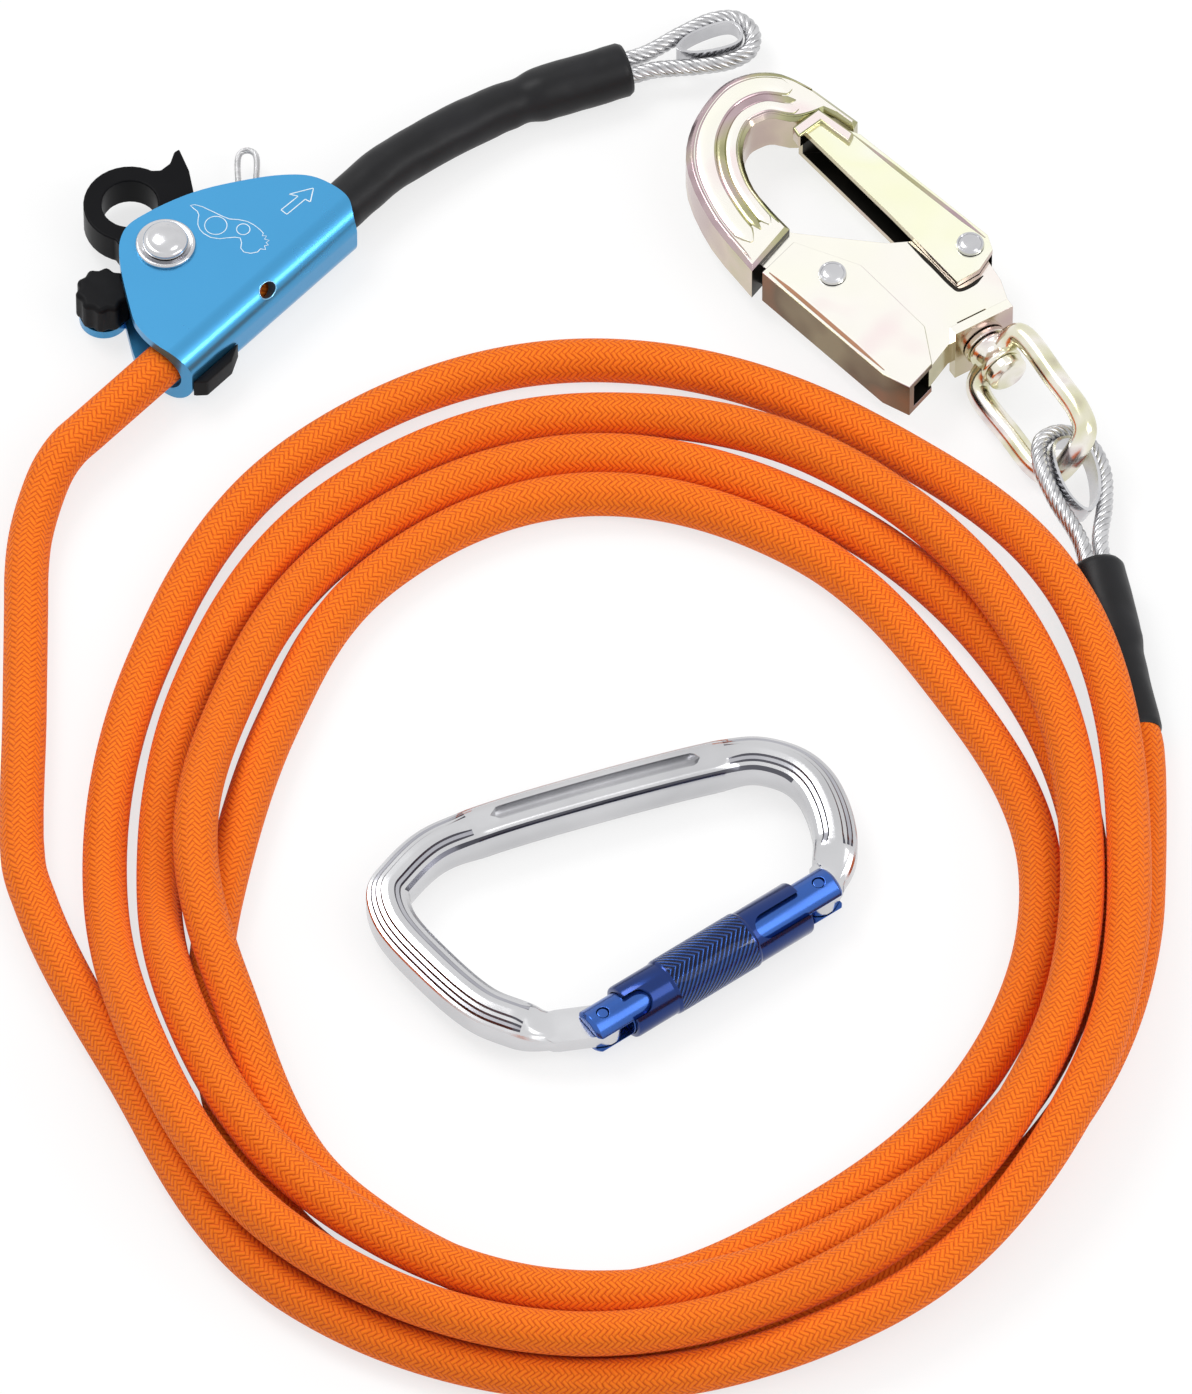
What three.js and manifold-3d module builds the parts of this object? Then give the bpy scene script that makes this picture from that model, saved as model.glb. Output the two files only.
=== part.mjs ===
// Rope grab on a steel-cored positioning rope, with a swivel snap hook at one end,
// a wire eye at the other and a twist-lock carabiner. Millimetres, +Z up.
// The origin lies on the floor under the rope's centre line, square to the grab's axle.
import * as THREE from 'three';
import { mergeVertices } from 'three/addons/utils/BufferGeometryUtils.js';
import Module from 'manifold-3d';

const wasm = await Module();
wasm.setup();

// Rope and coil
const ropeDiameter = 12.5;
const ropeRadius = ropeDiameter / 2;
const coilSides = 6;
const coilStepsPerTurn = 24;
const leadSides = 10;
const leastCoilGap = 0.4;

// Clearances and cutting
const slip = 0.3;
const fit = 0.25;
const overrun = 1;

// Rope grab
const grabYaw = 47.5;
const cheekWall = 3;
const channelClearance = 1.2;
const channelGap = ropeDiameter + 2 * channelClearance;
const housingDepth = channelGap + 2 * cheekWall;
const ropeHeight = housingDepth / 2;
const housingLength = 74;
const mouthReach = 27;
const channelSide = 10.6;
const foldRadius = 8;
const axleReach = 22.5;
const axleRadius = 3;
const axleDomeRadius = 6.4;
const axleDomeHeight = 3.4;
const washerRadius = 8.5;
const washerThickness = 1.3;
const nutRadius = 6;
const nutThickness = 1.8;
const bushRadius = 4.6;
const leverThickness = 10.5;
const leverEyeAlong = 6.5;
const leverEyeOut = 20;
const leverEyeRadius = 13.2;
const leverEyeHole = 8;
const leverHubRadius = 9.5;
const hornReach = 30;
const camRestGap = 0.5;
const camRise = 0.03;
const camTeeth = 9;
const toothDepth = 0.8;
const springWire = 1;
const knobRadius = 8;
const knobHeight = 11;
const knobFlute = 0.9;
const knobFlutes = 10;
const knobAlong = -19.6;
const knobOut = 28.4;
const earRadius = 7;
const screwRadius = 2;
const screwHeadRadius = 3.6;
const screwHeadHeight = 1.6;
const studRadius = 2.2;
const leashWireRadius = 0.9;
const leashReach = 21;
const leashWidth = 5;
const leashShares = [72.97, 22.3];
const guardLength = 19;
const guardThickness = 3;
const guardHeight = 7;
const sightHoleRadius = 2.3;
const sightHoleLength = 3;

// Sleeves, ferrules and wire eyes
const sleeveWall = 0.6;
const sleeveBore = ropeRadius + slip;
const sleeveRadius = sleeveBore + sleeveWall;
const ferruleRadius = 6.4;
const ferruleLength = 22;
const ferruleCoverRadius = 7.9;
const eyeWireRadius = 2.4;
const eyeLegSpread = 2.9;
const socketDepth = 6;
const thimbleWall = 0.9;
const thimbleHalfWidth = 2.9;
const upperEyeLength = 38;
const upperEyeHalfWidth = 7.6;
const lowerEyeLength = 46;
const lowerEyeHalfWidth = 10;
const lowerEyePitch = 3;
const lowerEyeRoll = 25;
const lowerEndYaw = 101.5;
const ringSeat = 8.89;
const ringSeatAcross = -0.6;
const thimbleGap = 0.45;

// Snap hook
const hookLength = 115;
const hookAt = [142.36, 73.89];
const hookYaw = -46;
const hookDepth = 25;
const hookMiddle = hookDepth / 2;
const hookBarThickness = 15;
const hookPlateThickness = 9;
const sheetWall = 2;
const hookRivetRadius = 2.6;
const hookRivetHeadRadius = 4;
const hookRivetHeadHeight = 1.2;
const rimWidth = 3.2;
const rimDepth = 1.2;
const tabThickness = 3;
const tabWidth = 19;
const rivetRoom = 1;
const smallSpringWire = 0.5;
const smallSpringRadius = 2;

// Swivel ring
const swivelYaw = -58.8;
const ringRod = 3.4;
const ringLength = 40.7;
const ringRoll = 50;
const ringBossRadius = 6.4;
const ringBossHalf = 4;
const swivelPinRadius = 4;
const swivelHeadRadius = 6;
const swivelHeadHeight = 4;
const swivelWasherRadius = 6.8;
const swivelWasherThickness = 1.6;
const swivelRivetedRadius = 5.5;
const rivetedEnd = 2.4;

// Carabiner
const carabinerLength = 138;
const carabinerAt = [110, -200];
const carabinerYaw = 19;
const frameWidth = 12.4;
const frameThickness = 13;
const frameChamfer = 3;
const gateRadius = 6.4;
const gateSleeveRadius = 8.4;
const gateWingRadius = 8;
const tangThickness = 5;
const tangGap = 0.4;
const gatePinRadius = 1.6;
const tangRadius = 5.4;
const forkReach = 5;
const slotWidth = 4;
const slotDepth = 3.2;
const gateSlotLean = 3.3;
const gateSwing = 25;
const sleeveInset = 7;
const tangRoom = 1;
const barrelEase = 1;
const sleeveEase = 1;
const sleeveStep = 0.6;
const sleeveSpringFrom = 14;
const sleeveSpringTo = 26;
const sleeveSpringDepth = 1.6;
const gateSpringRadius = 2.6;
const gateSpringLength = 14;

const degrees = Math.PI / 180;
const quarterTurn = 90 * degrees;
const fullTurn = 360 * degrees;
const up = new THREE.Vector3(0, 0, 1);

// Materials
function finish(colour, roughness, metalness) {
  return new THREE.MeshStandardMaterial({ color: colour, roughness, metalness });
}
const finishes = {
  anodised: () => finish(0x3f9bd2, 0.35, 0.8),
  blackAlloy: () => finish(0x16171a, 0.45, 0.4),
  steel: () => finish(0xc9ccd0, 0.25, 1),
  zinc: () => finish(0xcfc59a, 0.3, 1),
  polished: () => finish(0xdfe2e6, 0.15, 1),
  blueAlloy: () => finish(0x1c3f9c, 0.25, 0.9),
  blackPlastic: () => finish(0x111213, 0.6, 0),
  shrink: () => finish(0x141416, 0.55, 0),
  rope: () => finish(0xf0700f, 0.85, 0),
};

// Closed mesh to solid and back
function solid(geometry) {
  const bare = geometry.index ? geometry.toNonIndexed() : geometry.clone();
  bare.deleteAttribute('normal');
  bare.deleteAttribute('uv');
  const merged = mergeVertices(bare, 1e-4);
  const corners = [];
  for (let i = 0; i < merged.index.count; i += 3) {
    const [a, b, c] = [0, 1, 2].map((k) => merged.index.getX(i + k));
    if (a !== b && b !== c && c !== a) corners.push(a, b, c);
  }
  return new wasm.Manifold(new wasm.Mesh({
    numProp: 3,
    vertProperties: new Float32Array(merged.attributes.position.array),
    triVerts: new Uint32Array(corners),
  }));
}
function geometryOf(body) {
  const mesh = body.getMesh();
  const geometry = new THREE.BufferGeometry();
  geometry.setAttribute('position', new THREE.BufferAttribute(new Float32Array(mesh.vertProperties), 3));
  geometry.setIndex(new THREE.BufferAttribute(new Uint32Array(mesh.triVerts), 1));
  return geometry;
}
function cut(base, ...tools) {
  let body = solid(base);
  for (const tool of tools) body = body.subtract(solid(tool));
  return geometryOf(body);
}
function join(base, ...others) {
  let body = solid(base);
  for (const other of others) body = body.add(solid(other));
  return geometryOf(body);
}
function common(base, other) {
  return geometryOf(solid(base).intersect(solid(other)));
}

// Outlines
function arc(x, y, radius, from, to, steps) {
  const points = [];
  for (let i = 0; i <= steps; i += 1) {
    const angle = (from + (to - from) * i / steps) * degrees;
    points.push([x + radius * Math.cos(angle), y + radius * Math.sin(angle)]);
  }
  return points;
}
function ring(radius, sides, x = 0, y = 0) {
  return arc(x, y, radius, 0, 360, sides).slice(0, sides);
}
function shapeOf(points) {
  return new THREE.Shape(points.map(([x, y]) => new THREE.Vector2(x, y)));
}
function scaled(shares, size, originX = 0, originY = 0) {
  return shares.map(([x, y]) => [originX + x * size / 100, originY + y * size / 100]);
}
function scaledPoint(shares, size) {
  return scaled([shares], size)[0];
}
function onward([x, y], yaw, [ahead, aside]) {
  const [c, s] = [Math.cos(yaw * degrees), Math.sin(yaw * degrees)];
  return [x + ahead * c - aside * s, y + ahead * s + aside * c];
}
function shifted(points, dx, dy) {
  return points.map(([x, y]) => [x + dx, y + dy]);
}
function rounded(points, steps) {
  const flat = points.map(([x, y]) => new THREE.Vector3(x, y, 0));
  const curve = new THREE.CatmullRomCurve3(flat, false, 'centripetal');
  return curve.getPoints(steps).map((p) => [p.x, p.y]);
}

// Solids from outlines
function prism(points, low, high, holes = []) {
  const shape = shapeOf(points);
  for (const hole of holes) shape.holes.push(new THREE.Path(hole.map(([x, y]) => new THREE.Vector2(x, y))));
  const geometry = new THREE.ExtrudeGeometry(shape, { depth: high - low, bevelEnabled: false });
  return geometry.translate(0, 0, low);
}
function bevelled(points, low, high, bevel) {
  const shape = shapeOf(points);
  const geometry = new THREE.ExtrudeGeometry(shape, {
    depth: high - low - 2 * bevel,
    bevelEnabled: true,
    bevelThickness: bevel,
    bevelSize: bevel,
    bevelOffset: -bevel,
    bevelSegments: 1,
  });
  return geometry.translate(0, 0, low + bevel);
}
function disc(radius, low, high, sides, x = 0, y = 0) {
  return prism(ring(radius, sides, x, y), low, high);
}
function turned(profile, sides) {
  const geometry = new THREE.LatheGeometry(profile.map(([r, z]) => new THREE.Vector2(r, z)), sides);
  return geometry.rotateX(quarterTurn);
}
function tube(curve, radius, sides, steps, turn = 0) {
  const section = arc(0, 0, radius, turn, 360 + turn, sides).slice(0, sides);
  return new THREE.ExtrudeGeometry(shapeOf(section), { steps, extrudePath: curve, bevelEnabled: false });
}
function pipe(curve, radius, bore, sides, steps) {
  const shape = shapeOf(ring(radius, sides));
  shape.holes.push(new THREE.Path(ring(bore, sides).map(([x, y]) => new THREE.Vector2(x, y))));
  return new THREE.ExtrudeGeometry(shape, { steps, extrudePath: curve, bevelEnabled: false });
}
function lengthwise(geometry) {
  const basis = new THREE.Matrix4();
  basis.makeBasis(new THREE.Vector3(0, 1, 0), new THREE.Vector3(0, 0, 1), new THREE.Vector3(1, 0, 0));
  return geometry.applyMatrix4(basis);
}
function curveOf(points) {
  return new THREE.CatmullRomCurve3(points.map((p) => new THREE.Vector3(...p)), false, 'centripetal');
}
function stretch(curve, from, to, pieces) {
  const length = curve.getLength();
  const points = [];
  for (let i = 0; i <= pieces; i += 1) {
    points.push(curve.getPointAt((from + (to - from) * i / pieces) / length));
  }
  return new THREE.CatmullRomCurve3(points, false, 'centripetal');
}

// Scene graph
const assembly = new THREE.Group();
function place(parent, x, y, z, yaw) {
  const group = new THREE.Group();
  group.position.set(x, y, z);
  group.rotation.z = yaw * degrees;
  parent.add(group);
  return group;
}
function add(parent, name, geometry, material) {
  const mesh = new THREE.Mesh(geometry, material);
  mesh.name = name;
  parent.add(mesh);
  return mesh;
}

// Rope grab. Its own frame: X along the rope towards the wire eye, Y towards the lever.
const grab = place(assembly, 0, 0, 0, grabYaw);
const cheekShares = [
  [5, -19], [1, -8], [0, 4], [2, 14], [7, 22], [19, 38], [26, 44.5], [33, 47.3], [43, 46], [62, 39.5],
  [78, 30], [91, 20], [98, 11.5], [100.5, 2], [100, -6], [96, -13], [95, -19],
];
const cheekOutline = scaled(cheekShares, housingLength, -mouthReach, 0);
const cheekReach = Math.max(...cheekOutline.map(([, y]) => y));
const [leashAlong, leashOut] = scaled([leashShares], housingLength, -mouthReach, 0)[0];
const innerTop = housingDepth - cheekWall;
const leverLow = (housingDepth - leverThickness) / 2;
const leverHigh = leverLow + leverThickness;

function channelSection() {
  const half = channelGap / 2;
  const corner = foldRadius - channelSide;
  return [
    [cheekReach + overrun, 0],
    ...arc(corner, foldRadius, foldRadius, 270, 180, 5),
    ...arc(corner, housingDepth - foldRadius, foldRadius, 180, 90, 5),
    [cheekReach + overrun, housingDepth],
    [cheekReach + overrun, innerTop],
    ...arc(0, ropeHeight, half, 90, 270, 10),
    [cheekReach + overrun, cheekWall],
  ];
}
function backEar() {
  return prism(ring(earRadius, 20, knobAlong, knobOut), 0, cheekWall);
}
function sightHole() {
  const drill = disc(sightHoleRadius, 0, foldRadius, 12);
  drill.scale(sightHoleLength / sightHoleRadius, 1, 1);
  drill.rotateX(45 * degrees);
  return drill.translate(bushRadius * 2, foldRadius - channelSide, housingDepth - foldRadius);
}
function housing() {
  const channel = lengthwise(prism(channelSection(), -mouthReach - overrun,
    housingLength - mouthReach + overrun));
  const body = common(channel, prism(cheekOutline, -overrun, housingDepth + overrun));
  const base = join(body, backEar());
  return cut(
    base,
    disc(axleRadius + fit, -overrun, housingDepth + overrun, 24, 0, axleReach),
    disc(nutRadius + fit, -overrun, nutThickness, 24, 0, axleReach),
    disc(screwRadius + fit, -overrun, cheekWall + overrun, 16, knobAlong, knobOut),
    disc(screwHeadRadius + fit, -overrun, screwHeadHeight, 20, knobAlong, knobOut),
    disc(studRadius, -overrun, cheekWall + overrun, 16, leashAlong, leashOut),
    sightHole(),
  );
}
add(grab, 'housing', housing(), finishes.anodised());

// Axle, its washer and the sunk nut that holds it from behind
const domeBase = housingDepth + washerThickness;
add(grab, 'axle_bolt', turned([
  [0, nutThickness / 2], [axleRadius, nutThickness / 2], [axleRadius, domeBase], [axleDomeRadius, domeBase],
  [axleDomeRadius, domeBase + axleDomeHeight / 3], [axleDomeRadius * 0.86,
    domeBase + axleDomeHeight * 0.68],
  [axleDomeRadius * 0.55, domeBase + axleDomeHeight * 0.93], [0, domeBase + axleDomeHeight],
], 24).translate(0, axleReach, 0), finishes.steel());
add(grab, 'axle_washer', turned([
  [axleRadius + fit, housingDepth], [washerRadius, housingDepth], [washerRadius,
    housingDepth + washerThickness / 2],
  [washerRadius - washerThickness / 2, domeBase], [axleRadius + fit, domeBase], [axleRadius + fit,
    housingDepth],
], 24).translate(0, axleReach, 0), finishes.steel());
add(grab, 'axle_nut', cut(
  disc(nutRadius, 0, nutThickness, 24, 0, axleReach),
  disc(axleRadius + fit, nutThickness / 2 - fit, nutThickness + overrun, 24, 0, axleReach),
), finishes.steel());
add(grab, 'cam_bush', prism(ring(bushRadius, 24, 0, axleReach), cheekWall + slip, innerTop - slip,
  [ring(axleRadius + fit, 24, 0, axleReach)]), finishes.steel());

// Cam lever: carabiner eye, thumb horn and the toothed cam that bites the rope
function camRadius(angle) {
  const reach = axleReach - ropeRadius - camRestGap;
  return reach + camRise * (-90 - angle);
}
function camOutline() {
  const from = -50;
  const to = -132;
  const points = [[0, 0]];
  const steps = camTeeth * 2;
  for (let i = 0; i <= steps; i += 1) {
    const angle = from + (to - from) * i / steps;
    const radius = camRadius(angle) - (i % 2 ? toothDepth : 0);
    points.push([radius * Math.cos(angle * degrees), radius * Math.sin(angle * degrees)]);
  }
  return points.reverse();
}
function camLever() {
  const neck = [
    [leverHubRadius, 0], [leverEyeAlong + leverEyeRadius * 0.9, leverEyeOut - leverEyeRadius * 0.4],
    [leverEyeAlong - leverEyeRadius * 0.9, leverEyeOut - leverEyeRadius * 0.4], [-leverHubRadius, 0],
  ];
  const hornShares = [[20, 25], [72, 31], [88, 52], [100, 76], [94, 77], [82, 71], [70, 72], [58, 84],
    [40, 96], [20, 60]];
  const horn = scaled(hornShares, hornReach);
  const eye = disc(leverEyeRadius, 0, leverThickness, 36, leverEyeAlong, leverEyeOut);
  const body = join(
    eye,
    disc(leverHubRadius, 0, leverThickness, 28),
    prism(neck, 0, leverThickness),
    prism(horn, 0, leverThickness),
    prism(camOutline(), 0, leverThickness),
  );
  const shaped = cut(
    body,
    disc(leverEyeHole, -overrun, leverThickness + overrun, 32, leverEyeAlong, leverEyeOut),
    disc(bushRadius + slip, -overrun, leverThickness + overrun, 24),
  );
  return shaped.translate(0, axleReach, leverLow);
}
add(grab, 'cam_lever', camLever(), finishes.blackAlloy());

// Return spring: one turn and a half of wire round the bush, under the front cheek
function camSpring() {
  const coilRadius = bushRadius + slip + springWire;
  const low = leverHigh + slip + springWire / 2;
  const high = innerTop - slip - springWire / 2;
  const points = [[coilRadius, -coilRadius, low]];
  const steps = 14;
  for (let i = 0; i <= steps; i += 1) {
    const angle = i / steps * 330 * degrees;
    points.push([coilRadius * Math.cos(angle), coilRadius * Math.sin(angle),
      low + (high - low) * i / steps]);
  }
  return tube(curveOf(points), springWire / 2, 6, 32).translate(0, axleReach, 0);
}
add(grab, 'cam_spring', camSpring(), finishes.steel());

// Thumb knob on its screw, over the ear of the back cheek
function fluted(radius, depth, flutes, steps) {
  const points = [];
  for (let i = 0; i < flutes * steps; i += 1) {
    const angle = i / (flutes * steps) * fullTurn;
    const reach = radius - depth * (0.5 - 0.5 * Math.cos(flutes * angle));
    points.push([reach * Math.cos(angle), reach * Math.sin(angle)]);
  }
  return points;
}
const knobLow = cheekWall + slip;
add(grab, 'thumb_knob', cut(
  bevelled(fluted(knobRadius, knobFlute, knobFlutes, 6), knobLow, knobLow + knobHeight, knobFlute)
    .translate(knobAlong, knobOut, 0),
  disc(screwRadius + slip, knobLow - overrun, knobLow + knobHeight * 0.7, 16, knobAlong, knobOut),
), finishes.blackPlastic());
add(grab, 'knob_screw', turned([
  [0, 0], [screwHeadRadius, 0], [screwHeadRadius, screwHeadHeight - slip], [screwRadius,
    screwHeadHeight - slip],
  [screwRadius, knobLow + knobHeight * 0.7 - slip], [0, knobLow + knobHeight * 0.7 - slip],
], 16).translate(knobAlong, knobOut, 0), finishes.steel());

// Steel leash: a stud in the back cheek, a crimp that turns on it and a bare wire loop
const crimpLow = leverLow - cheekWall / 3;
const crimpHigh = crimpLow + 4 * leashWireRadius + 2 * slip;
const crimpMiddle = (crimpLow + crimpHigh) / 2;
const crimpRadius = studRadius + cheekWall / 2;
const leash = place(grab, leashAlong, leashOut, 0, 90 - grabYaw);
add(grab, 'leash_stud', turned([
  [0, 0], [studRadius - fit, 0], [studRadius - fit, crimpHigh + slip], [crimpRadius, crimpHigh + slip],
  [crimpRadius, crimpHigh + slip + leashWireRadius], [0, crimpHigh + slip + leashWireRadius],
], 16).translate(leashAlong, leashOut, 0), finishes.steel());
const crimpLength = crimpRadius + 3 * leashWireRadius + slip;
const legSpread = leashWireRadius + slip;
function crimp() {
  const blank = join(
    disc(crimpRadius, crimpLow, crimpHigh, 20),
    prism([[0, -crimpRadius * 0.8], [crimpLength, -crimpRadius * 0.8], [crimpLength, crimpRadius * 0.8],
      [0, crimpRadius * 0.8]], crimpLow, crimpHigh),
  );
  const sockets = [-legSpread, legSpread].map((side) => tube(
    curveOf([[studRadius * 1.4, side, crimpMiddle], [crimpLength + overrun, side, crimpMiddle]]),
    leashWireRadius + fit / 2, 8, 1, 22.5));
  return cut(blank, disc(studRadius + fit / 2, crimpLow - overrun, crimpHigh + overrun, 16), ...sockets);
}
add(leash, 'leash_crimp', crimp(), finishes.steel());
function leashLoop() {
  const start = crimpLength - 2 * leashWireRadius;
  const end = crimpLength + leashReach;
  const side = leashWidth / 2;
  return tube(curveOf([
    [start, -legSpread, crimpMiddle], [crimpLength + leashWireRadius, -legSpread, crimpMiddle],
    [crimpLength + leashReach * 0.35, -side * 0.8, crimpMiddle], [end - side, -side, crimpMiddle],
    [end - side * 0.3, -side * 0.7, crimpMiddle], [end, 0, crimpMiddle], [end - side * 0.3, side * 0.7,
      crimpMiddle],
    [end - side, side, crimpMiddle], [crimpLength + leashReach * 0.35, side * 0.8, crimpMiddle],
    [crimpLength + leashWireRadius, legSpread, crimpMiddle], [start, legSpread, crimpMiddle],
  ]), leashWireRadius, 8, 36, 22.5);
}
add(leash, 'leash_wire', leashLoop(), finishes.steel());

// Black guard strip on the channel's side beside the mouth
const guardStart = -mouthReach * 0.92;
const guardInner = -channelSide - slip;
const guardOuter = guardInner - guardThickness;
const guardLow = foldRadius - guardHeight / 2;
add(grab, 'mouth_guard', prism([
  [guardStart, guardInner], [guardStart + guardThickness, guardOuter],
  [guardStart + guardLength - 2 * guardThickness, guardOuter], [guardStart + guardLength, guardInner],
], guardLow, guardLow + guardHeight), finishes.blackPlastic());

// Rope. One length runs from the upper ferrule through the grab, round the coil
// and into the lower sleeve. Points outside the coil are chosen by hand.
const along = (s) => [s * Math.cos(grabYaw * degrees), s * Math.sin(grabYaw * degrees), ropeHeight];
const floorRope = ropeRadius;
const sleeveHeight = ferruleCoverRadius;
const coverLength = ferruleLength + ropeRadius;
const upperEnd = { x: 113.5, y: 86.4, z: sleeveHeight, yaw: 20, pitch: 0 };
const lowerStraight = 61;

// The hook lies by its jaw's far side, and its swivel, ring and lower eye follow one after another
const jawSideShares = [-60, 22.6];
const tabBackShares = [34.94, 15.98];
const tabReach = ringBossHalf + swivelWasherThickness + tabThickness + 2 * slip;
const tabBack = scaledPoint(tabBackShares, hookLength);
const swivelInHook = onward(tabBack, swivelYaw - hookYaw, [tabReach, 0]);
const leverPivotAt = onward(hookAt, hookYaw, scaledPoint(jawSideShares, -hookLength));
const swivelAt = onward(leverPivotAt, hookYaw, swivelInHook);
const ringEndAt = onward(swivelAt, swivelYaw, [ringLength, 0]);
const lowerAt = onward(ringEndAt, lowerEndYaw, [ringSeat - lowerEyeLength, -ringSeatAcross]);
const lowerEnd = {
  x: lowerAt[0], y: lowerAt[1], z: sleeveRadius + lowerStraight * Math.sin(lowerEyePitch * degrees),
  yaw: lowerEndYaw, pitch: lowerEyePitch,
};
function behind(end, distance) {
  const flat = distance * Math.cos(end.pitch * degrees);
  const turn = end.yaw * degrees;
  return [
    end.x - flat * Math.cos(turn), end.y - flat * Math.sin(turn),
    end.z - distance * Math.sin(end.pitch * degrees),
  ];
}
const leadEnd = [-54.9, -100];
const onFloor = (s) => [leadEnd[0], leadEnd[1] - s, floorRope];
const upperLine = curveOf([
  behind(upperEnd, 0), behind(upperEnd, ferruleLength / 2), behind(upperEnd, ferruleLength),
  [84, 75.3, 8], [74.8, 70.6, 8.2], [64, 63.8, 8.9], [53.6, 56, 9.8],
  along(65), along(58), along(50), along(25), along(0), along(-25), along(-50), along(-58), along(-64),
  [-47.7, -54.4, 9.6], [-51.4, -64.5, 7.7], [-54, -76, floorRope + slip / 2],
  onFloor(-ropeDiameter), onFloor(0),
]);
const upperLineLength = upperLine.getLength();
const leadLength = upperLineLength - ferruleLength - 2 * slip;
add(assembly, 'rope_lead', tube(
  stretch(upperLine, ferruleLength + slip, upperLineLength - slip,
    60), ropeRadius, leadSides, 40), finishes.rope());

// Coil: its reach from the coil's centre and its lift off the floor, every 30 degrees
// from the lead, through four and a half turns, to the tail under the lower sleeve
const coilX = 99.9;
const coilY = -186.7;
const coilStart = 150;
const coilTurn = 30;
const coilReachAndLift = [
  [178.7, 0], [154.6, 0], [144, 0], [163.2, 0], [172.8, 0], [174.3, 7], [163, 13.2], [153.2, 13.6],
  [159.6, 15.2], [166.1, 3], [172.3, 0], [159.4, 0], [138.5, 0], [131.9, 0], [138.5, 12.4], [155.7, 12.4],
  [165.6, 11.8], [161.1, 13.2], [148.7, 13.4], [140, 13.4], [142.3, 13.2], [149.2, 8.4], [153.4, 0], [140.8,
    0],
  [123.4, 0], [116.8, 0], [124.5, 13.2], [140, 13.2], [151.9, 11.8], [147.9, 6.2], [146, 0], [141.8, 0],
  [137.5, 0], [138, 0], [139.3, 0], [126.8, 0], [109.8, 7], [106.5, 12.8], [110, 13.2], [131, 2],
  [145.2, 0], [134.9, 0], [132, 0], [128.6, 0], [119.8, 0], [124.3, 0], [125.8, 0], [112.6, 0],
  [96.6, 0], [97, 0], [117, 0], [148.6, 0], [159.2, 0], [161.5, 0], [160, 0], [157.5, 0],
];
const coilPieces = 6;
const ropeEnd = behind(lowerEnd, ferruleLength + slip);
const tailPoints = [behind(lowerEnd, lowerStraight), behind(lowerEnd, lowerStraight - ropeRadius)];
function coilPoints() {
  const reaches = new THREE.SplineCurve(coilReachAndLift.map(([reach], i) => new THREE.Vector2(i, reach)));
  const points = [onFloor(0), onFloor(ropeDiameter), onFloor(3 * ropeDiameter)];
  for (let i = 1; i < coilReachAndLift.length - 1; i += 1) {
    for (let piece = 0; piece < coilPieces; piece += 1) {
      const part = piece / coilPieces;
      const angle = (coilStart + (i + part) * coilTurn) * degrees;
      const reach = reaches.getPoint((i + part) / (coilReachAndLift.length - 1)).y;
      const lift = THREE.MathUtils.lerp(
        coilReachAndLift[i][1], coilReachAndLift[i + 1][1], THREE.MathUtils.smoothstep(part, 0, 1));
      points.push([coilX + reach * Math.cos(angle), coilY + reach * Math.sin(angle), floorRope + lift]);
    }
  }
  return points;
}
const coilLine = curveOf([...coilPoints(), ...tailPoints, ropeEnd]);
coilLine.arcLengthDivisions = 2000;
const coilLength = coilLine.getLength();
const coilSteps = Math.ceil((coilReachAndLift.length - 1) * coilTurn / 360 * coilStepsPerTurn) + 4;
add(assembly, 'rope_coil', tube(
  stretch(coilLine, slip, coilLength, coilSteps * 3), ropeRadius, coilSides, coilSteps), finishes.rope());

function leastGap(curve, length) {
  const samples = 900;
  const points = curve.getSpacedPoints(samples);
  const apart = Math.ceil(4 * ropeDiameter / (length / samples));
  let least = Infinity;
  let where = '';
  for (let i = 0; i < points.length; i += 1) {
    for (let j = i + apart; j < points.length; j += 1) {
      const gap = points[i].distanceTo(points[j]) - ropeDiameter;
      if (gap < least) {
        least = gap;
        where = `${i} ${j}`;
      }
    }
  }
  return [least, where];
}
const [coilGap] = leastGap(coilLine, coilLength);
console.log(`rope length ${Math.round(leadLength
  + coilLength)} mm, least gap in the coil ${coilGap.toFixed(2)} mm`);
if (coilGap < leastCoilGap) console.log('the coil touches itself');

// Sleeves of shrink tube over the rope's ends and the ferrules
const upperSleeveTail = 70;
const upperSleeveLength = coverLength + upperSleeveTail;
function sleeve(line, length, steps) {
  const cover = pipe(stretch(line, 0, coverLength, 6), ferruleCoverRadius, ferruleRadius + 0.4, 12, 3);
  const tail = pipe(stretch(line, coverLength - ropeRadius / 2, length, steps), sleeveRadius, sleeveBore,
    12, steps);
  return join(cover, tail);
}
add(assembly, 'upper_sleeve', sleeve(upperLine, upperSleeveLength, 10), finishes.shrink());
const lowerSleeveLength = 56;
const lowerLine = curveOf([behind(lowerEnd, 0), behind(lowerEnd, lowerStraight)]);
add(assembly, 'lower_sleeve', sleeve(lowerLine, lowerSleeveLength, 2), finishes.shrink());

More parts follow.
